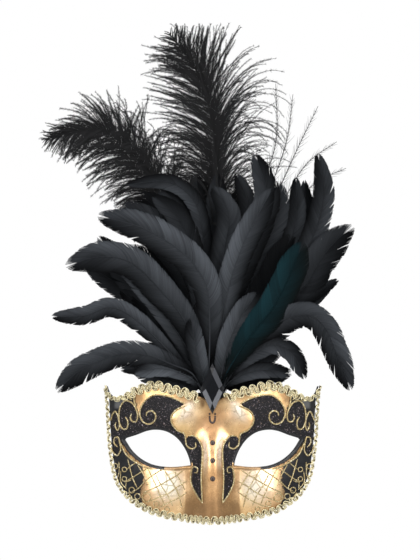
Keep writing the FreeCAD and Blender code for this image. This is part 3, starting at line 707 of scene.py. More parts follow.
def make_braid(name, line, fullness, cords, turn_radius, straight, cord, gap, lift, seed, slot_node):
    """Parallel metallic cords that wind from side to side along an edge of the face."""
    rng = np.random.default_rng(seed)
    line = resample(smooth_line(line, 12), 400)
    edge = on_face(line[:, 0], line[:, 1], 0 * line[:, 0])
    where = np.concatenate([[0], np.cumsum(np.linalg.norm(np.diff(edge, axis=0), axis=1))])
    length = where[-1]
    along = unit(np.gradient(line, axis=0))
    across = np.stack([-along[:, 1], along[:, 0]], 1)
    reach = line + across
    slope = mask_depth(reach[:, 0], reach[:, 1]) - edge[:, 1]
    across = across / np.sqrt(1 + slope ** 2)[:, None] * fullness(line[:, 0], line[:, 1])[:, None]
    builder = Builder()
    offsets = (np.arange(cords) - (cords - 1) / 2) * gap
    half_width = straight / 2 + turn_radius + offsets[-1]
    for number, offset in enumerate((*offsets, 0)):
        # painted shade: a dark cord under the others stands for the shade in the gaps between the cords
        painted_shade_cord = number == cords   # a dark cord under the others, seen between them
        path = gimp_path(length, offset, turn_radius, straight)
        path = resample(path, int(line_length(path) / CORD_STEP))
        s = np.clip(path[:, 0], 0, length)
        centre = np.stack([np.interp(s, where, line[:, k]) for k in range(2)], 1)
        out = np.stack([np.interp(s, where, across[:, k]) for k in range(2)], 1)
        spread = path[:, 1] * (1 + 0.05 * np.sin(s * 0.9 + seed)) + 0.15 * np.sin(s * 0.37 + seed * 2)
        flat = centre + out * spread[:, None]
        count = len(flat)
        height = lift + 0.25 * np.sin(s * 1.3 + number) + 0.12 * rng.uniform(-1, 1, count)
        height = height - 0.9 * np.clip(np.abs(path[:, 1]) / half_width - 0.6, 0, 1)
        body = on_face(flat[:, 0], flat[:, 1], height - (0.55 if painted_shade_cord else 0))
        beat = 0.5 + 0.5 * np.sin(np.arange(count) * CORD_STEP * 2 * math.pi / TWIST_PITCH)
        radius = cord * 0.5 * (0.86 + 0.2 * beat)
        # painted highlight and shade along each turn of the foil, with a random difference per point
        painted_light_tone = np.clip(0.2 + 0.65 * beat + 0.2 * rng.uniform(-1, 1, count), 0, 1)
        builder.tube(body, gap * 0.62 if painted_shade_cord else radius, 6, value=0 if painted_shade_cord else np.repeat(painted_light_tone, 6))
    place(builder.finish(name, [BRAID], "twist"), slot_node)


def top_fullness(x, z):
    """The top braid narrows towards the horns."""
    return 1 - 0.55 * blend(56, 74, np.abs(x))


def edge_fullness(x, z):
    """The edge braid narrows up the sides."""
    return 1 - 0.42 * blend(-46, -28, z)


TOP_INSET = np.array((1.9, 1.9, 1.9, 1.9, 1.9, 1.9, 1.6, 1.0, 0.6, 0.3))
EDGE_INSET = np.array((-0.2, -1.0, -1.0, -1.0, -1.0, -0.9, -0.3, 0.4, 0.8, 1.0, 1.0, 1.0))


def make_braids():
    top = inset(SHELL_TOP, TOP_INSET[:, None])[1:]
    for seed, (side, line) in enumerate((("right", top), ("left", flip(top)[::-1])), 1):
        make_braid("gimp_top_" + side, line, top_fullness, 3, 1.65, 2.3, 0.72, 1.05, 0.8, seed,
                   "top_braid_" + side)
    side_line = inset(SHELL_SIDE, EDGE_INSET[:, None])[:-1]
    round_chin = np.vstack([side_line, [(0, -52.6)], flip(side_line)])
    make_braid("gimp_edge", round_chin, edge_fullness, 3, 1.5, 1.3, 0.64, 0.95, 0.8, 3, "edge_braid")


# ---- jewel and dots ------------------------------------------------------------------------
JEWEL_Z = 46.0
JEWEL_FRONT = 4.6
JEWEL_BACK_Y = -1.9


def make_jewel():
    """A long lozenge stone: flat table, four main bevels, and kite facets at its corners."""
    black = plain_material("jewel_black_acrylic", (0.003, 0.0035, 0.005), 0.05, specular=0.15)
    levels = (  # (side, height, depth) of each ring of eight corners
        ((7.6, 16.4, 1.6, 1.2), JEWEL_BACK_Y),
        ((8.0, 17.0, 1.7, 1.3), JEWEL_BACK_Y - 1.3),
        ((5.0, 10.6, 0.05, 0.05), JEWEL_BACK_Y - JEWEL_FRONT),
    )
    verts = []
    for (w, h, cut_x, cut_z), y in levels:
        slope = h / w
        top = (cut_x, h - cut_x * slope * 0.35)
        wing = (w - cut_z * 0.35, cut_z * slope)
        corners = ((1, 1, top), (1, 1, wing), (1, -1, wing), (1, -1, top),
                   (-1, -1, top), (-1, -1, wing), (-1, 1, wing), (-1, 1, top))
        verts += [(right * a, y, JEWEL_Z + up * b) for right, up, (a, b) in corners]
    faces = [tuple(range(8))[::-1], tuple(range(16, 24))]
    for ring in (0, 8):
        for k in range(8):
            n = (k + 1) % 8
            faces.append((ring + k, ring + n, ring + 8 + n, ring + 8 + k))
    # painted reflection: two bevels get a lit grey and one a fainter grey glint, standing for the lights the
    # black stone would mirror
    lit = plain_material("jewel_lit_facet", (0.13, 0.135, 0.15), 0.12)
    glint = plain_material("jewel_glint_facet", (0.045, 0.047, 0.055), 0.08)
    slots = [0] * 10 + [2, 0, 1, 0, 1, 0, 0, 0]   # which bevels catch the light
    stone = make_object("faceted_stone", verts, faces, [black, lit, glint], smooth=False, face_slots=slots)
    bm = bmesh.new()
    bm.from_mesh(stone.data)
    bmesh.ops.recalc_face_normals(bm, faces=bm.faces)
    bmesh.ops.remove_doubles(bm, verts=bm.verts, dist=0.00015)
    bm.to_mesh(stone.data)
    bm.free()
    place(stone, "jewel")
    set_cad("jewel_setting", plain_material("setting_black", (0.01, 0.01, 0.012), 0.35))


def dome(builder, x, z, radius, height):
    """A low round drop of paint on the face."""
    rings, sides = 5, 12
    verts = []
    for i in range(rings):
        r = radius * math.cos(i / rings * math.pi / 2)
        lift = height * math.sin(i / rings * math.pi / 2)
        for k in range(sides):
            a = 2 * math.pi * k / sides
            verts.append(on_face(x + r * math.cos(a), z + r * math.sin(a), lift))
    verts.append(on_face(x, z, height))
    faces = [(i * sides + k, i * sides + (k + 1) % sides, (i + 1) * sides + (k + 1) % sides,
              (i + 1) * sides + k) for i in range(rings - 1) for k in range(sides)]
    top = rings * sides
    base = builder.count
    builder.add(verts, faces)
    builder.faces += [[base + (rings - 1) * sides + k, base + (rings - 1) * sides + (k + 1) % sides,
                       base + top] for k in range(sides)]
    builder.faces.append([base + k for k in range(sides)][::-1])


def make_dots():
    brown = plain_material("bronze_drop", (0.030, 0.013, 0.008), 0.3)
    dots = Builder()
    for z in (5.5, -7.7, -21.2):
        dome(dots, 0.2, z, 2.0, 0.8)
    place(dots.finish("bronze_dots", [brown]), "nose_dots")
    loop = Builder()
    for i in range(15):
        turn = math.pi * i / 14
        wide = 2.6 - 0.5 * abs(math.cos(turn)) ** 3
        dome(loop, -wide * math.cos(turn), 27.0 - 6.6 * math.sin(turn) ** 0.8, 0.85, 0.6)
    place(loop.finish("bronze_loop", [brown]), "drop_loop")


# ---- feathers ------------------------------------------------------------------------------------------
# name: layer from the front, x at the neck, width, line of the shaft from neck to tip, painted lighting (how
# lit the feather is painted), twist
FEATHERS = {
    "feather_front_left": (0, -5, 14, ((-9, 62), (-13, 80), (-16, 99)), 0.55, 0.25),
    "feather_front_right": (0, 5, 18, ((12, 79), (21, 99), (34, 118)), 0.6, -0.1),
    "feather_left_01": (1, -3, 24, ((-2, 97), (-5, 124), (-19, 145), (-51, 166), (-86, 176)), 0.7, 0.25),
    "feather_right_01": (1, 6, 24, ((21, 75), (47, 109), (58, 131), (68, 156)), 0.3, -0.2),
    "feather_left_02": (2, -7, 24, ((-17, 90), (-39, 120), (-62, 141), (-84, 145), (-110, 138)), 0.5, 0.1),
    "feather_right_02": (2, 2, 20, ((12, 120), (23, 154), (34, 176), (45, 196)), 0.75, 0.15),
    "feather_left_03": (3, -9, 20, ((-15, 57), (-30, 64), (-49, 71), (-69, 72), (-84, 67), (-99, 60),
                                    (-117, 44)), 0.55, 0.2),
    "feather_right_03": (3, 8, 20, ((20, 72), (47, 94), (60, 100), (73, 101), (84, 92), (93.5, 71),
                                    (100, 55), (104, 44.6)), 0.45, -0.25),
    "feather_right_04": (4, 9, 14, ((20, 64), (34, 74), (47, 79), (60, 72), (69.5, 53)), 0.4, 0.3),
    "feather_left_04": (4, -4, 17, ((-32, 97), (-60, 133), (-86, 160)), 0.35, -0.2),
    "feather_left_05": (5, -8, 15, ((-32, 73), (-53, 94), (-69, 105), (-79, 107), (-95, 101),
                                    (-121, 100)), 0.6, 0.15),
    "feather_right_05": (5, 6, 25, ((22, 80), (47, 106), (71, 124), (81, 142), (93, 157), (106, 168)),
                         0.3, 0.2),
    "feather_left_06": (6, -9, 11, ((-20, 57), (-45, 62), (-69, 60)), 0.5, 0.1),
    "feather_right_06": (6, 7, 13, ((17, 74), (28, 93), (38, 105), (45, 124)), 0.3, 0.3),
    "feather_centre_01": (6, 0, 20, ((2, 112), (9, 150), (12, 178), (0, 198)), 0.45, -0.25),
    "feather_left_07": (7, -5, 18, ((-9, 120), (-20, 164), (-29, 178), (-45, 191)), 0.4, 0.2),
    "feather_right_07": (7, 5, 18, ((39.5, 97), (66, 141), (79, 169), (84, 195), (79.5, 223)), 0.35, -0.15),
    "feather_centre_02": (8, 2, 20, ((14, 112), (28, 150), (41, 190), (32, 223)), 0.4, 0.1),
    "feather_left_08": (8, -8, 13, ((-25, 74), (-42, 91)), 0.35, 0.0),
    "feather_left_09": (9, -3, 13, ((-6, 142), (-9, 174), (-16, 190), (-32, 201), (-65, 199.5)), 0.45, 0.2),
    "feather_right_08": (9, 6, 15, ((30, 92), (54, 142), (63, 176), (63, 205)), 0.3, 0.2),
    "feather_left_10": (10, -6, 14, ((-27, 80), (-49, 109)), 0.3, -0.1),
    "feather_centre_03": (10, 2, 16, ((12, 110), (21, 142), (27, 184), (18, 208)), 0.3, -0.2),
    "feather_right_09": (10, 9, 11, ((30, 82), (60, 106), (95, 128)), 0.35, 0.0),
    "feather_left_11": (11, -4, 14, ((-12, 85), (-27, 112)), 0.3, 0.1),
    "feather_right_10": (11, 6, 13, ((32, 92), (62, 146), (70, 176), (69.5, 203)), 0.3, -0.1),
    "feather_left_12": (12, -7, 15, ((-20, 78), (-40, 95), (-69, 120)), 0.3, 0.1),
    "feather_centre_04": (12, 0, 18, ((2, 110), (3, 160), (4, 208)), 0.25, 0.0),
    "feather_right_11": (12, 9, 11, ((28, 78), (50, 95), (89, 121)), 0.3, 0.1),
    "feather_left_13": (13, -5, 21, ((-16, 110), (-34, 150), (-62, 182)), 0.2, 0.1),
    "feather_right_12": (13, 6, 21, ((24, 100), (45, 140), (60, 172)), 0.15, 0.0),
    "feather_centre_05": (14, -2, 20, ((-6, 110), (-9, 160), (-12, 208)), 0.25, 0.1),
    "feather_right_13": (14, 8, 21, ((30, 84), (54, 108), (82, 136)), 0.15, -0.1),
    "feather_left_14": (14, -8, 21, ((-28, 86), (-56, 114), (-96, 140)), 0.2, 0.0),
}
# shorter feathers laid between the others, one piece for each group; the last value is the painted lighting,
# how lit or shaded the feather is painted
FEATHER_GROUPS = {
    "feather_under_left": (
        (5.5, -7, 16, ((-16, 70), (-28, 88), (-40, 98)), 0.5),
        (8.5, -6, 22, ((-20, 90), (-38, 122), (-62, 154)), 0.3),
        (9.5, -4, 24, ((-12, 100), (-28, 140), (-50, 172), (-70, 184)), 0.25),
        (10.5, -2, 24, ((-4, 110), (-12, 150), (-26, 184), (-40, 198)), 0.25),
        (11.5, -8, 20, ((-24, 78), (-42, 100), (-60, 116)), 0.3),
        (12.5, -6, 22, ((-26, 84), (-50, 116), (-80, 150)), 0.2),
        (13.5, -3, 26, ((-10, 110), (-22, 150), (-40, 180), (-56, 192)), 0.1),
        (14.5, -7, 22, ((-22, 84), (-40, 110), (-62, 132)), 0.1)),
    "feather_under_right": (
        (5.5, 5, 18, ((16, 74), (30, 92), (40, 110)), 0.65),
        (8.5, 5, 24, ((24, 90), (46, 130), (60, 162)), 0.05),
        (9.5, 3, 24, ((16, 100), (36, 150), (48, 184), (50, 202)), 0.3),
        (10.5, 7, 22, ((30, 84), (58, 116), (80, 142)), 0.25),
        (11.5, 1, 24, ((8, 110), (18, 150), (24, 186), (20, 204)), 0.25),
        (12.5, 6, 24, ((28, 90), (56, 130), (74, 166)), 0.1),
        (13.5, 8, 20, ((28, 76), (52, 94), (76, 106)), 0.2),
        (14.5, 4, 26, ((18, 104), (38, 150), (56, 190)), 0.1)),
    "feather_tuft": (
        (2.5, -1, 18, ((-3, 70), (-6, 90), (-8, 114)), 0.1),
        (3.5, -9, 12, ((-20, 56), (-38, 61), (-59, 58)), 0.8),
        (3.5, 9, 12, ((22, 56), (40, 60), (58, 57)), 0.4),
        (4.5, 2, 18, ((5, 72), (10, 96), (12, 122)), 0.15),
        (6.5, -4, 18, ((-9, 72), (-20, 96), (-28, 118)), 0.35),
        (7.5, -7, 16, ((-16, 60), (-30, 70), (-46, 78)), 0.4),
        (7.5, 8, 16, ((18, 60), (34, 69), (52, 74)), 0.2),
        (10.5, -8, 14, ((-18, 48), (-32, 52), (-46, 56), (-60, 60)), 0.45),
        (11.5, 9, 14, ((18, 48), (32, 52), (46, 56), (60, 58)), 0.1)),
}
VANE_WIDTH = ((0, 0.05), (0.08, 0.35), (0.25, 0.75), (0.45, 0.97), (0.70, 1), (0.85, 0.95), (1, 0.8))
VANE_START = 0.14
ROUND_TIP = 0.2          # share of the vane over which its end is rounded
BARB_PITCH = 0.5
BARB_STEPS = 7
BARB_HALF = 0.36
DOWN_END = 0.2           # share of the vane, from its root, that is loose down
TURN_SOFTNESS = 16       # points of the shaft over which its direction is evened out


def plume_depth(layer, x, z):
    """Y of a feather layer: the layers fan apart and sweep back with distance from the root."""
    reach = np.hypot(x, np.maximum(0, np.asarray(z) - NECK_Z))
    fan = (layer - MIDDLE_LAYER) * LAYER_SPREAD * reach
    return ROOT_Y + layer * LAYER_STEP + fan + PLUME_LEAN * reach * reach


def profile_at(profile, t):
    marks, values = zip(*profile)
    return np.interp(t, marks, values)


def shaft_frame(neck_x, path, count=240):
    """Evenly spaced points of a shaft in the XZ plane, with the directions along and across it."""
    line = smooth_line(((0.7 * neck_x, ROOT_Z), (neck_x, NECK_Z - 3)) + tuple(path), 30)
    line = resample(line, count)
    along = np.gradient(line, axis=0)
    window = np.hanning(2 * TURN_SOFTNESS + 1)
    padded = np.pad(along, ((TURN_SOFTNESS, TURN_SOFTNESS), (0, 0)), mode="edge")
    along = np.stack([np.convolve(column, window, "valid") for column in padded.T], 1)
    along = unit(along)
    return line, along, np.stack([-along[:, 1], along[:, 0]], 1)


def at_share(values, s):
    """Values given evenly along the shaft, read at any share of its length."""
    marks = np.linspace(0, 1, len(values))
    return np.stack([np.interp(s, marks, values[:, c]) for c in range(values.shape[1])], -1)


def clumps(rng, count, smallest, largest):
    """For each barb: how many barbs it is drawn towards its clump's middle, and the clump's own value."""
    shift, own = np.zeros(count), np.zeros(count)
    start = 0
    while start < count:
        stop = min(count, start + int(rng.integers(smallest, largest)))
        run = np.arange(start, stop)
        shift[start:stop] = (run.mean() - run) * rng.uniform(0.2, 1.0)
        own[start:stop] = rng.uniform(-1, 1)
        start = stop
    return shift, own


def ribbons(builder, body, width, value):
    """Flat ribbons, one per row of `body`, with half-width vectors `width`."""
    rows, n = body.shape[:2]
    verts = np.stack([body + width, body - width], 2).reshape(-1, 3)
    k = np.arange(n - 1) * 2
    strip = np.stack([k, k + 2, k + 3, k + 1], 1)
    faces = (strip[None] + (np.arange(rows) * n * 2)[:, None, None]).reshape(-1, 4)
    builder.add(verts, faces, np.repeat(np.asarray(value), 2, axis=-1).reshape(-1))


def coque_feather(builder, layer, neck_x, width, path, painted_lighting, twist, seed):
    """A rooster tail feather: a tapered shaft with hundreds of flat barbs that lock into a vane."""
    rng = np.random.default_rng(seed)
    line, along, across = shaft_frame(neck_x, path)
    length = line_length(line)
    share = np.linspace(0, 1, len(line))
    depth = plume_depth(layer, line[:, 0], line[:, 1])
    shaft = with_depth(line, depth - 0.2)[::4]
    builder.tube(shaft, np.interp(share[::4], [0, 0.3, 1], [0.85, 0.45, 0.1]), 6, value=0.4 * painted_lighting)
    count = int(length * (1 - VANE_START) / BARB_PITCH)
    half = width / 2
    t = np.linspace(0, 1, BARB_STEPS + 1)
    local = (np.arange(count) + 0.5) / count
    outline = profile_at(VANE_WIDTH, local)
    outline = outline * np.sqrt(np.clip(1 - (np.maximum(local - 1 + ROUND_TIP, 0) / ROUND_TIP) ** 2, 0, 1))
    down = np.clip(1 - local / DOWN_END, 0, 1)
    # painted light: one side of each vane is painted lit and the other shaded
    painted_lit_side = 1 if seed % 2 else -1
    for side in (-1, 1):
        hanging = (across[len(across) // 2] * side)[1] < 0
        ragged = 1.9 if hanging else 0.8
        shift, own = clumps(rng, count, 6, 34)
        reach = half * outline * (1 + 0.03 * rng.uniform(-1, 1, count) + 0.05 * ragged * own * local)
        end = VANE_START + (1 - VANE_START) * local
        forward = (half * outline * (0.95 + 0.5 * local) + 0.9 * half * blend(0.78, 1, local)) / length
        base = np.maximum(end - forward, 0.5 * VANE_START)
        wild = rng.normal(0, 1, count) * (4.0 * down + 0.25)
        pull = (shift * BARB_PITCH * 0.16 * ragged * blend(1.0, 0.85, local) + wild) / length
        s = base[:, None] + (end - base)[:, None] * t ** 1.15 + pull[:, None] * t ** 3
        lateral = reach[:, None] * t ** 0.9
        flat = at_share(line, s) + at_share(across, s) * (side * lateral)[..., None]
        y = plume_depth(layer, flat[..., 0], flat[..., 1]) + 0.10 * lateral * t + twist * side * lateral
        y = y + (rng.normal(0, 0.04, count) + rng.normal(0, 1.5, count) * down)[:, None] * t
        step = unit(np.gradient(flat, axis=1), 1e-6)
        thin = BARB_HALF * (1 - 0.45 * t ** 4)[None] * (1 - 0.55 * down)[:, None]
        edge = np.stack([step[..., 1] * side * thin, 0.22 * side * thin, -step[..., 0] * side * thin], -1)
        # painted light and shade: darker near the root, lightest along the middle, darker at the tip; one side
        # lit and the other shaded towards its edge; darker at the barb ends; with a random difference per clump
        # and per barb
        painted_light_tone = painted_lighting * blend(0.05, 0.5, local) * (1 - 0.45 * blend(0.8, 1, local))
        painted_light_tone = painted_light_tone * (1 + 0.22 * own + 0.12 * rng.normal(0, 1, count))
        painted_side_shade = 0.45 + 0.55 * t if side == painted_lit_side else 0.45 * (1 - t)
        ribbons(builder, with_depth(flat, y), edge, np.clip(painted_light_tone[:, None] * painted_side_shade * (1 - 0.4 * t ** 6), 0, 1))


def make_coque():
    black = feather_material("coque_black", (0.0015, 0.0017, 0.002), (0.105, 0.115, 0.13))
    teal = feather_material("coque_teal_sheen", (0.002, 0.003, 0.003), (0.016, 0.075, 0.095))
    for seed, (name, (layer, neck, width, path, painted_lighting, twist)) in enumerate(FEATHERS.items()):
        sheen = name == "feather_right_01"
        vane = Builder()
        coque_feather(vane, layer, neck, width, path, painted_lighting, twist, 100 + seed)
        place(vane.finish("plume_" + name, [teal if sheen else black], "painted_light_tone"),
              name)
    for number, (name, group) in enumerate(FEATHER_GROUPS.items()):
        vane = Builder()
        for k, (layer, neck, width, path, painted_lighting) in enumerate(group):
            coque_feather(vane, layer, neck, width, path, painted_lighting, 0.08 * (-1) ** k, 200 + 20 * number + k)
        place(vane.finish("plume_" + name, [black], "painted_light_tone"), name)


TALL_SHAFT = ((1, 120), (1, 190), (1, 234), (-6, 269), (-16, 293), (-33, 315))
SIDE_SHAFT = ((-8, 90), (-20, 135), (-39, 187), (-66, 226), (-82, 242), (-98, 241), (-127, 234))
PLUME_LIMITS = ((-134.6, 107.0), (40.0, 322.0))
OSTRICH_BARBS = 330
OSTRICH_STEPS = 13
BARBULES_PER_STEP = 11
OSTRICH_BARB_HALF = 0.34
BARBULE_HALF = 0.13
FULL_BARB = 32.0         # barbs shorter than this carry fewer and shorter barbules
EDGE_PLAY = 5.0          # how unevenly the barb tips stop at the outer limits


def ostrich(layer, neck_x, path, begin, sides, seed):
    """An ostrich plume: a long shaft with loose barbs that arch out of it, each with fine barbules."""
    rng = np.random.default_rng(seed)
    line, along, across = shaft_frame(neck_x, path, 300)
    share = np.linspace(0, 1, len(line))
    depth = plume_depth(layer, line[:, 0], line[:, 1])
    quill = Builder()
    quill.tube(with_depth(line, depth)[::4], np.interp(share[::4], [0, 0.4, 1], [1.3, 0.9, 0.15]), 6)
    vane = Builder()
    n = OSTRICH_BARBS
    t = np.linspace(0, 1, OSTRICH_STEPS)
    for side, (reaches, spread, curl, droop) in sides:
        shift, own = clumps(rng, n, 3, 12)
        local = ((np.arange(n) + rng.uniform(0, 1, n)) / n) ** 1.3
        s = begin + (1 - begin) * local
        start = at_share(line, s)
        a, c = at_share(along, s), at_share(across, s) * side
        reach = profile_at(reaches, local) * rng.uniform(0.55, 1.1, n) * (1 + 0.12 * own)
        angle = np.radians(profile_at(spread, local) + rng.normal(0, 11, n)) + shift * 0.02
        heading = a * np.cos(angle)[:, None] + c * np.sin(angle)[:, None]
        bend = -side * profile_at(curl, local) * rng.uniform(0.4, 1.3, n) / OSTRICH_STEPS
        fall = profile_at(droop, local) * rng.uniform(0.5, 1.4, n)
        points = [start]
        for j in range(1, OSTRICH_STEPS):
            cos_t, sin_t = np.cos(bend * t[j]), np.sin(bend * t[j])
            heading = np.stack([heading[:, 0] * cos_t - heading[:, 1] * sin_t,
                                heading[:, 0] * sin_t + heading[:, 1] * cos_t], 1)
            heading[:, 1] -= fall * t[j]
            heading = unit(heading)
            points.append(points[-1] + heading * (reach / (OSTRICH_STEPS - 1))[:, None])
        flat = np.stack(points, 1)
        shrink = np.ones(n)
        for axis, (low, high) in enumerate(PLUME_LIMITS):
            out = flat[..., axis] - start[:, None, axis]
            play = rng.exponential(EDGE_PLAY, n)
            shrink = np.minimum(shrink, (high - play - start[:, axis]) / np.maximum(out.max(1), 1e-3))
            shrink = np.minimum(shrink, (low + play - start[:, axis]) / np.minimum(out.min(1), -1e-3))
        flat = start[:, None] + (flat - start[:, None]) * np.clip(shrink, 0.05, 1)[:, None, None]
        y = np.interp(s, share, depth)[:, None] + rng.normal(0, 3.2, n)[:, None] * t ** 1.2
        body = with_depth(flat, y + rng.normal(0, 0.12, n)[:, None] * reach[:, None] * t)
        ahead = unit(np.gradient(body, axis=1), 1e-6)
        beside = unit(np.cross(ahead, (0.0, 1.0, 0.0)), 1e-6)
        ribbons(vane, body, beside * (OSTRICH_BARB_HALF * (1 - 0.65 * t))[None, :, None], np.zeros((n, len(t))))
        barbules(vane, rng, body, ahead, beside)
    return quill, vane


def barbules(vane, rng, body, ahead, beside):
    """Fine hairs on both sides of every barb, one thin triangle each."""
    rows, n = body.shape[:2]
    count = (n - 1) * BARBULES_PER_STEP * 2
    at = rng.uniform(0.02, 1, (rows, count)) * (n - 1)
    low = np.minimum(at.astype(int), n - 2)
    row = np.arange(rows)[:, None]
    mixed = (at - low)[..., None]
    root = body[row, low] * (1 - mixed) + body[row, low + 1] * mixed
    sign = np.where(rng.random((rows, count)) < 0.5, 1, -1)[..., None]
    length = rng.uniform(1.8, 4.6, (rows, count))[..., None] * (1 - 0.6 * (at / (n - 1))[..., None])
    lean = rng.uniform(0.7, 1.6, (rows, count))[..., None]
    out = beside[row, low] * sign + ahead[row, low] * lean + rng.normal(0, 0.2, (rows, count, 3))
    out = unit(out)
    wide = ahead[row, low] * BARBULE_HALF
    size = np.linalg.norm(np.diff(body, axis=1), axis=-1).sum(1)[:, None]
    keep = rng.random((rows, count)) < np.clip(size / FULL_BARB, 0.05, 1)
    length = length * np.clip(size / FULL_BARB, 0.35, 1)[..., None]
    verts = np.stack([root - wide, root + wide, root + out * length], 2)[keep].reshape(-1, 3)
    vane.add(verts, np.arange(len(verts)).reshape(-1, 3))


def make_ostrich():
    mat = plain_material("ostrich_black", (0.004, 0.004, 0.0045), 0.6, specular=0.2)
    quill_mat = plain_material("quill_black", (0.008, 0.008, 0.008), 0.4, specular=0.2)
    # each side: reach, angle out of the shaft, curl and droop, all along the plume
    plumes = (
        ("ostrich_tall", 16, 1, TALL_SHAFT, 0.36, (
            (1, (((0, 40), (0.35, 50), (0.6, 50), (0.8, 42), (0.93, 18), (1, 6)),
                 ((0, 35), (0.6, 48), (1, 35)), ((0, 0.3), (1, -0.4)),
                 ((0, 0.42), (0.45, 0.16), (0.6, 0.04), (1, 0.02)))),
            (-1, (((0, 50), (0.3, 68), (0.6, 70), (0.8, 50), (0.93, 20), (1, 6)),
                  ((0, 15), (0.5, 22), (0.8, 34), (1, 40)), ((0, 0.5), (0.6, 0.5), (1, -0.4)),
                  ((0, 0.30), (0.5, 0.34), (0.68, 0.12), (0.8, 0.03), (1, 0)))))),
        ("ostrich_side", 17, -3, SIDE_SHAFT, 0.40, (
            (1, (((0, 26), (0.3, 40), (0.6, 42), (0.85, 26), (0.95, 12), (1, 5)),
                 ((0, 50), (0.6, 55), (1, 30)), ((0, 0), (1, 0.2)), ((0, 0.12), (0.6, 0.14), (1, 0.10)))),
            (-1, (((0, 40), (0.3, 56), (0.5, 50), (0.7, 34), (0.85, 24), (0.95, 10), (1, 5)),
                  ((0, 35), (0.5, 40), (0.7, 30), (1, 20)), ((0, 0.8), (0.5, 1.0), (0.7, 0.2), (1, -0.2)),
                  ((0, 0.34), (0.45, 0.42), (0.6, 0.14), (1, 0.04)))))),
    )
    for seed, (name, layer, neck, path, begin, sides) in enumerate(plumes, 7):
        quill, vane = ostrich(layer, neck, path, begin, sides, seed)
        place(quill.finish(name + "_shaft", [quill_mat]), name + "_quill")
        place(vane.finish(name + "_barbs", [mat], smooth=False), name + "_vane")


SPRAY_SPINES = (((-4, 60), (10, 130), (34, 190), (48, 232), (48, 276)),
                ((-1, 60), (15, 128), (40, 188), (56, 232), (61, 268)),
                ((2, 60), (20, 126), (46, 186), (64, 226), (80, 259)),
                ((5, 60), (25, 124), (52, 184), (72, 216), (94, 232)),
                ((8, 60), (30, 122), (58, 180), (80, 202), (101, 212)))
SPINE_POINTS = 90
FIRST_BRISTLE = 50       # the point of a spine where its bristles begin
SPRAY_LAYER = 15


def make_spray():
    """Stripped spines with a few short bristles left on them."""
    rng = np.random.default_rng(61)
    mat = plain_material("spine_black", (0.010, 0.010, 0.011), 0.4)
    spray = Builder()
    for path in SPRAY_SPINES:
        line = smooth_line(((0.7 * path[0][0], ROOT_Z),) + path, 14)
        line = resample(line, SPINE_POINTS)
        body = with_depth(line, plume_depth(SPRAY_LAYER, line[:, 0], line[:, 1]))
        spray.tube(body, np.linspace(0.9, 0.22, len(body)), 5)
        for k in range(FIRST_BRISTLE, SPINE_POINTS - 2):
            for side in (-1, 1):
                a = unit(body[k + 1] - body[k])
                c = np.cross(a, (0.0, 1.0, 0.0)) * side
                reach = rng.uniform(5, 15) * (1.1 - (k - FIRST_BRISTLE) / 50)
                spread = rng.uniform(0.25, 0.6)
                t = np.linspace(0, 1, 6)[:, None]
                hair = body[k] + (a * t + c * spread * t ** 0.8) * reach
                hair = hair + np.array((0.0, rng.normal(0, 0.8), 0.0)) * t
                spray.tube(hair, np.linspace(0.24, 0.06, 6), 3)
    place(spray.finish("bristle_spray", [mat]), "spine_spray")


# ---- what holds the plume -----------------------------------------------------------------------------
THREAD_RADIUS = 0.3
THREAD_TURNS = 8
POINTS_PER_TURN = 48


def rounded_box(centre, reach, turn, power):
    """Points of a rectangle with very round corners; a power of 1 would make it an ellipse."""
    return [c + r * np.sign(f(turn)) * np.abs(f(turn)) ** power
            for c, r, f in zip(centre, reach, (np.cos, np.sin))]


def make_binding():
    low, high = box_mm("stem_binding")
    turn = np.linspace(0, THREAD_TURNS * 2 * math.pi, THREAD_TURNS * POINTS_PER_TURN)
    middle, reach = (low + high) / 2, (high - low) / 2 - THREAD_RADIUS
    x, y = rounded_box(middle[:2], reach[:2], turn, 0.45)
    z = np.linspace(low[2] + THREAD_RADIUS, high[2] - THREAD_RADIUS, len(turn))
    thread = Builder()
    thread.tube(np.stack([x, y, z], 1), THREAD_RADIUS, 6)
    black = plain_material("thread_black", (0.02, 0.02, 0.02), 0.6, sheen=0.3)
    place(thread.finish("binding_thread", [black]), "stem_binding")


def make_pad():
    low, high = box_mm("plume_pad")
    turn = np.linspace(0, 2 * math.pi, 65)[:-1]
    middle, reach = (low + high) / 2, (high - low) / 2
    outline = np.stack(rounded_box(middle[::2], reach[::2], turn, 0.4), 1)
    flat, faces = sheet_mesh(outline, [], 1.2)
    rim = np.clip(distance_to(flat, outline) / 1.5, 0, 1) ** 0.5
    fuzz = 0.15 * wobble(flat[:, 0], flat[:, 1], 5, 3)
    front = with_depth(flat, low[1] + 0.9 * (1 - rim) + fuzz + 0.2)
    back = with_depth(flat, high[1] - 0.9 * (1 - rim) + fuzz - 0.2)
    verts, all_faces, _ = thick_sheet(flat, faces, front, back)
    felt = paint_material("black_felt", (0.015, 0.015, 0.016), 0.95, 900, 0.0003)
    pad = make_object("felt_pad", verts, all_faces, [felt])
    place(pad, "plume_pad")


def make_lugs():
    lug = plain_material("lug_black", (0.015, 0.015, 0.016), 0.4)
    for side in ("left", "right"):
        set_cad("tie_loop_" + side, lug)


# ---- stage -----------------------------------------------------------------------------------------------
CAMERA_AWAY = 6.0
VIEW_HEIGHT = 0.420
SENSOR = 36.0
AIM = (-0.0018, 0.0, 0.1275)


FLOOR_RADIUS = 1.1
FLOOR_Z = -0.3
WORLD_LIGHT = 0.4        # strength of the grey world around the part
WORLD_SHINE = 0.8        # what is added to it where a shiny surface sees it
LAMP_AIM = Vector((0, 0, 0.08))


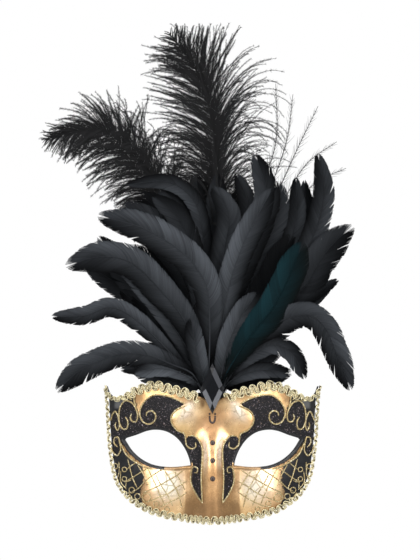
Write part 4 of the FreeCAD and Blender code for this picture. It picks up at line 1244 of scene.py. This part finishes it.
def make_stage():
    scene = bpy.context.scene
    scene.view_settings.view_transform = "Standard"
    camera_data = bpy.data.cameras.new("camera")
    camera_data.sensor_width = SENSOR
    camera_data.lens = SENSOR * CAMERA_AWAY / VIEW_HEIGHT
    camera = bpy.data.objects.new("camera", camera_data)
    camera.location = (AIM[0], AIM[1] - CAMERA_AWAY, AIM[2])
    camera.rotation_euler = (math.pi / 2, 0, 0)
    scene.collection.objects.link(camera)
    scene.camera = camera

    world = bpy.data.worlds.new("studio")
    scene.world = world
    world.use_nodes = True
    tree = world.node_tree
    background = tree.nodes["Background"]
    background.inputs["Color"].default_value = (0.62, 0.63, 0.65, 1)
    white = node(tree, "ShaderNodeBackground")
    white.inputs["Color"].default_value = (1, 1, 1, 1)
    white.inputs["Strength"].default_value = 1.0
    blend_node = tree.nodes.new("ShaderNodeMixShader")
    ray = tree.nodes.new("ShaderNodeLightPath")
    seen = maths(tree, "MULTIPLY_ADD", ray.outputs["Is Glossy Ray"], WORLD_SHINE, WORLD_LIGHT)
    tree.links.new(seen, background.inputs["Strength"])
    tree.links.new(ray.outputs["Is Camera Ray"], blend_node.inputs["Fac"])
    tree.links.new(background.outputs[0], blend_node.inputs[1])
    tree.links.new(white.outputs[0], blend_node.inputs[2])
    tree.links.new(blend_node.outputs[0], tree.nodes["World Output"].inputs["Surface"])

    floor_mesh = bpy.data.meshes.new("floor")
    turn = np.linspace(0, 2 * math.pi, 65)[:-1]
    floor_mesh.from_pydata([(FLOOR_RADIUS * math.cos(a), FLOOR_RADIUS * math.sin(a), FLOOR_Z) for a in turn],
                           [], [tuple(range(len(turn)))])
    floor = bpy.data.objects.new("floor", floor_mesh)
    floor_mesh.materials.append(plain_material("floor_white", (0.92, 0.92, 0.92), 0.9))
    scene.collection.objects.link(floor)

    for name, spot, size, power in (
            ("key_left", (-0.95, -1.0, 0.55), (0.5, 1.1), 11),
            ("key_right", (0.95, -1.0, 0.45), (0.5, 1.1), 10),
            ("top", (0.0, -0.7, 1.25), (1.2, 0.6), 12),
            ("back", (0.3, 1.1, 0.9), (1.2, 0.6), 10)):
        light = bpy.data.lights.new(name, "AREA")
        light.shape = "RECTANGLE"
        light.size, light.size_y = size
        light.energy = power
        lamp = bpy.data.objects.new(name, light)
        lamp.location = spot
        lamp.rotation_euler = (LAMP_AIM - Vector(spot)).to_track_quat("-Z", "Y").to_euler()
        scene.collection.objects.link(lamp)


BRAID = braid_material()
LINES = glitter_material("gold_glitter", (0.36, 0.27, 0.12), ((0.90, 0.82, 0.55), (0.10, 0.07, 0.02)),
                         0.5, 0.4, 0.5)
make_shell()
make_panels(LINES)
make_lattice(LINES)
make_braids()
make_jewel()
make_dots()
make_coque()
make_ostrich()
make_spray()
make_binding()
make_pad()
make_lugs()
make_stage()
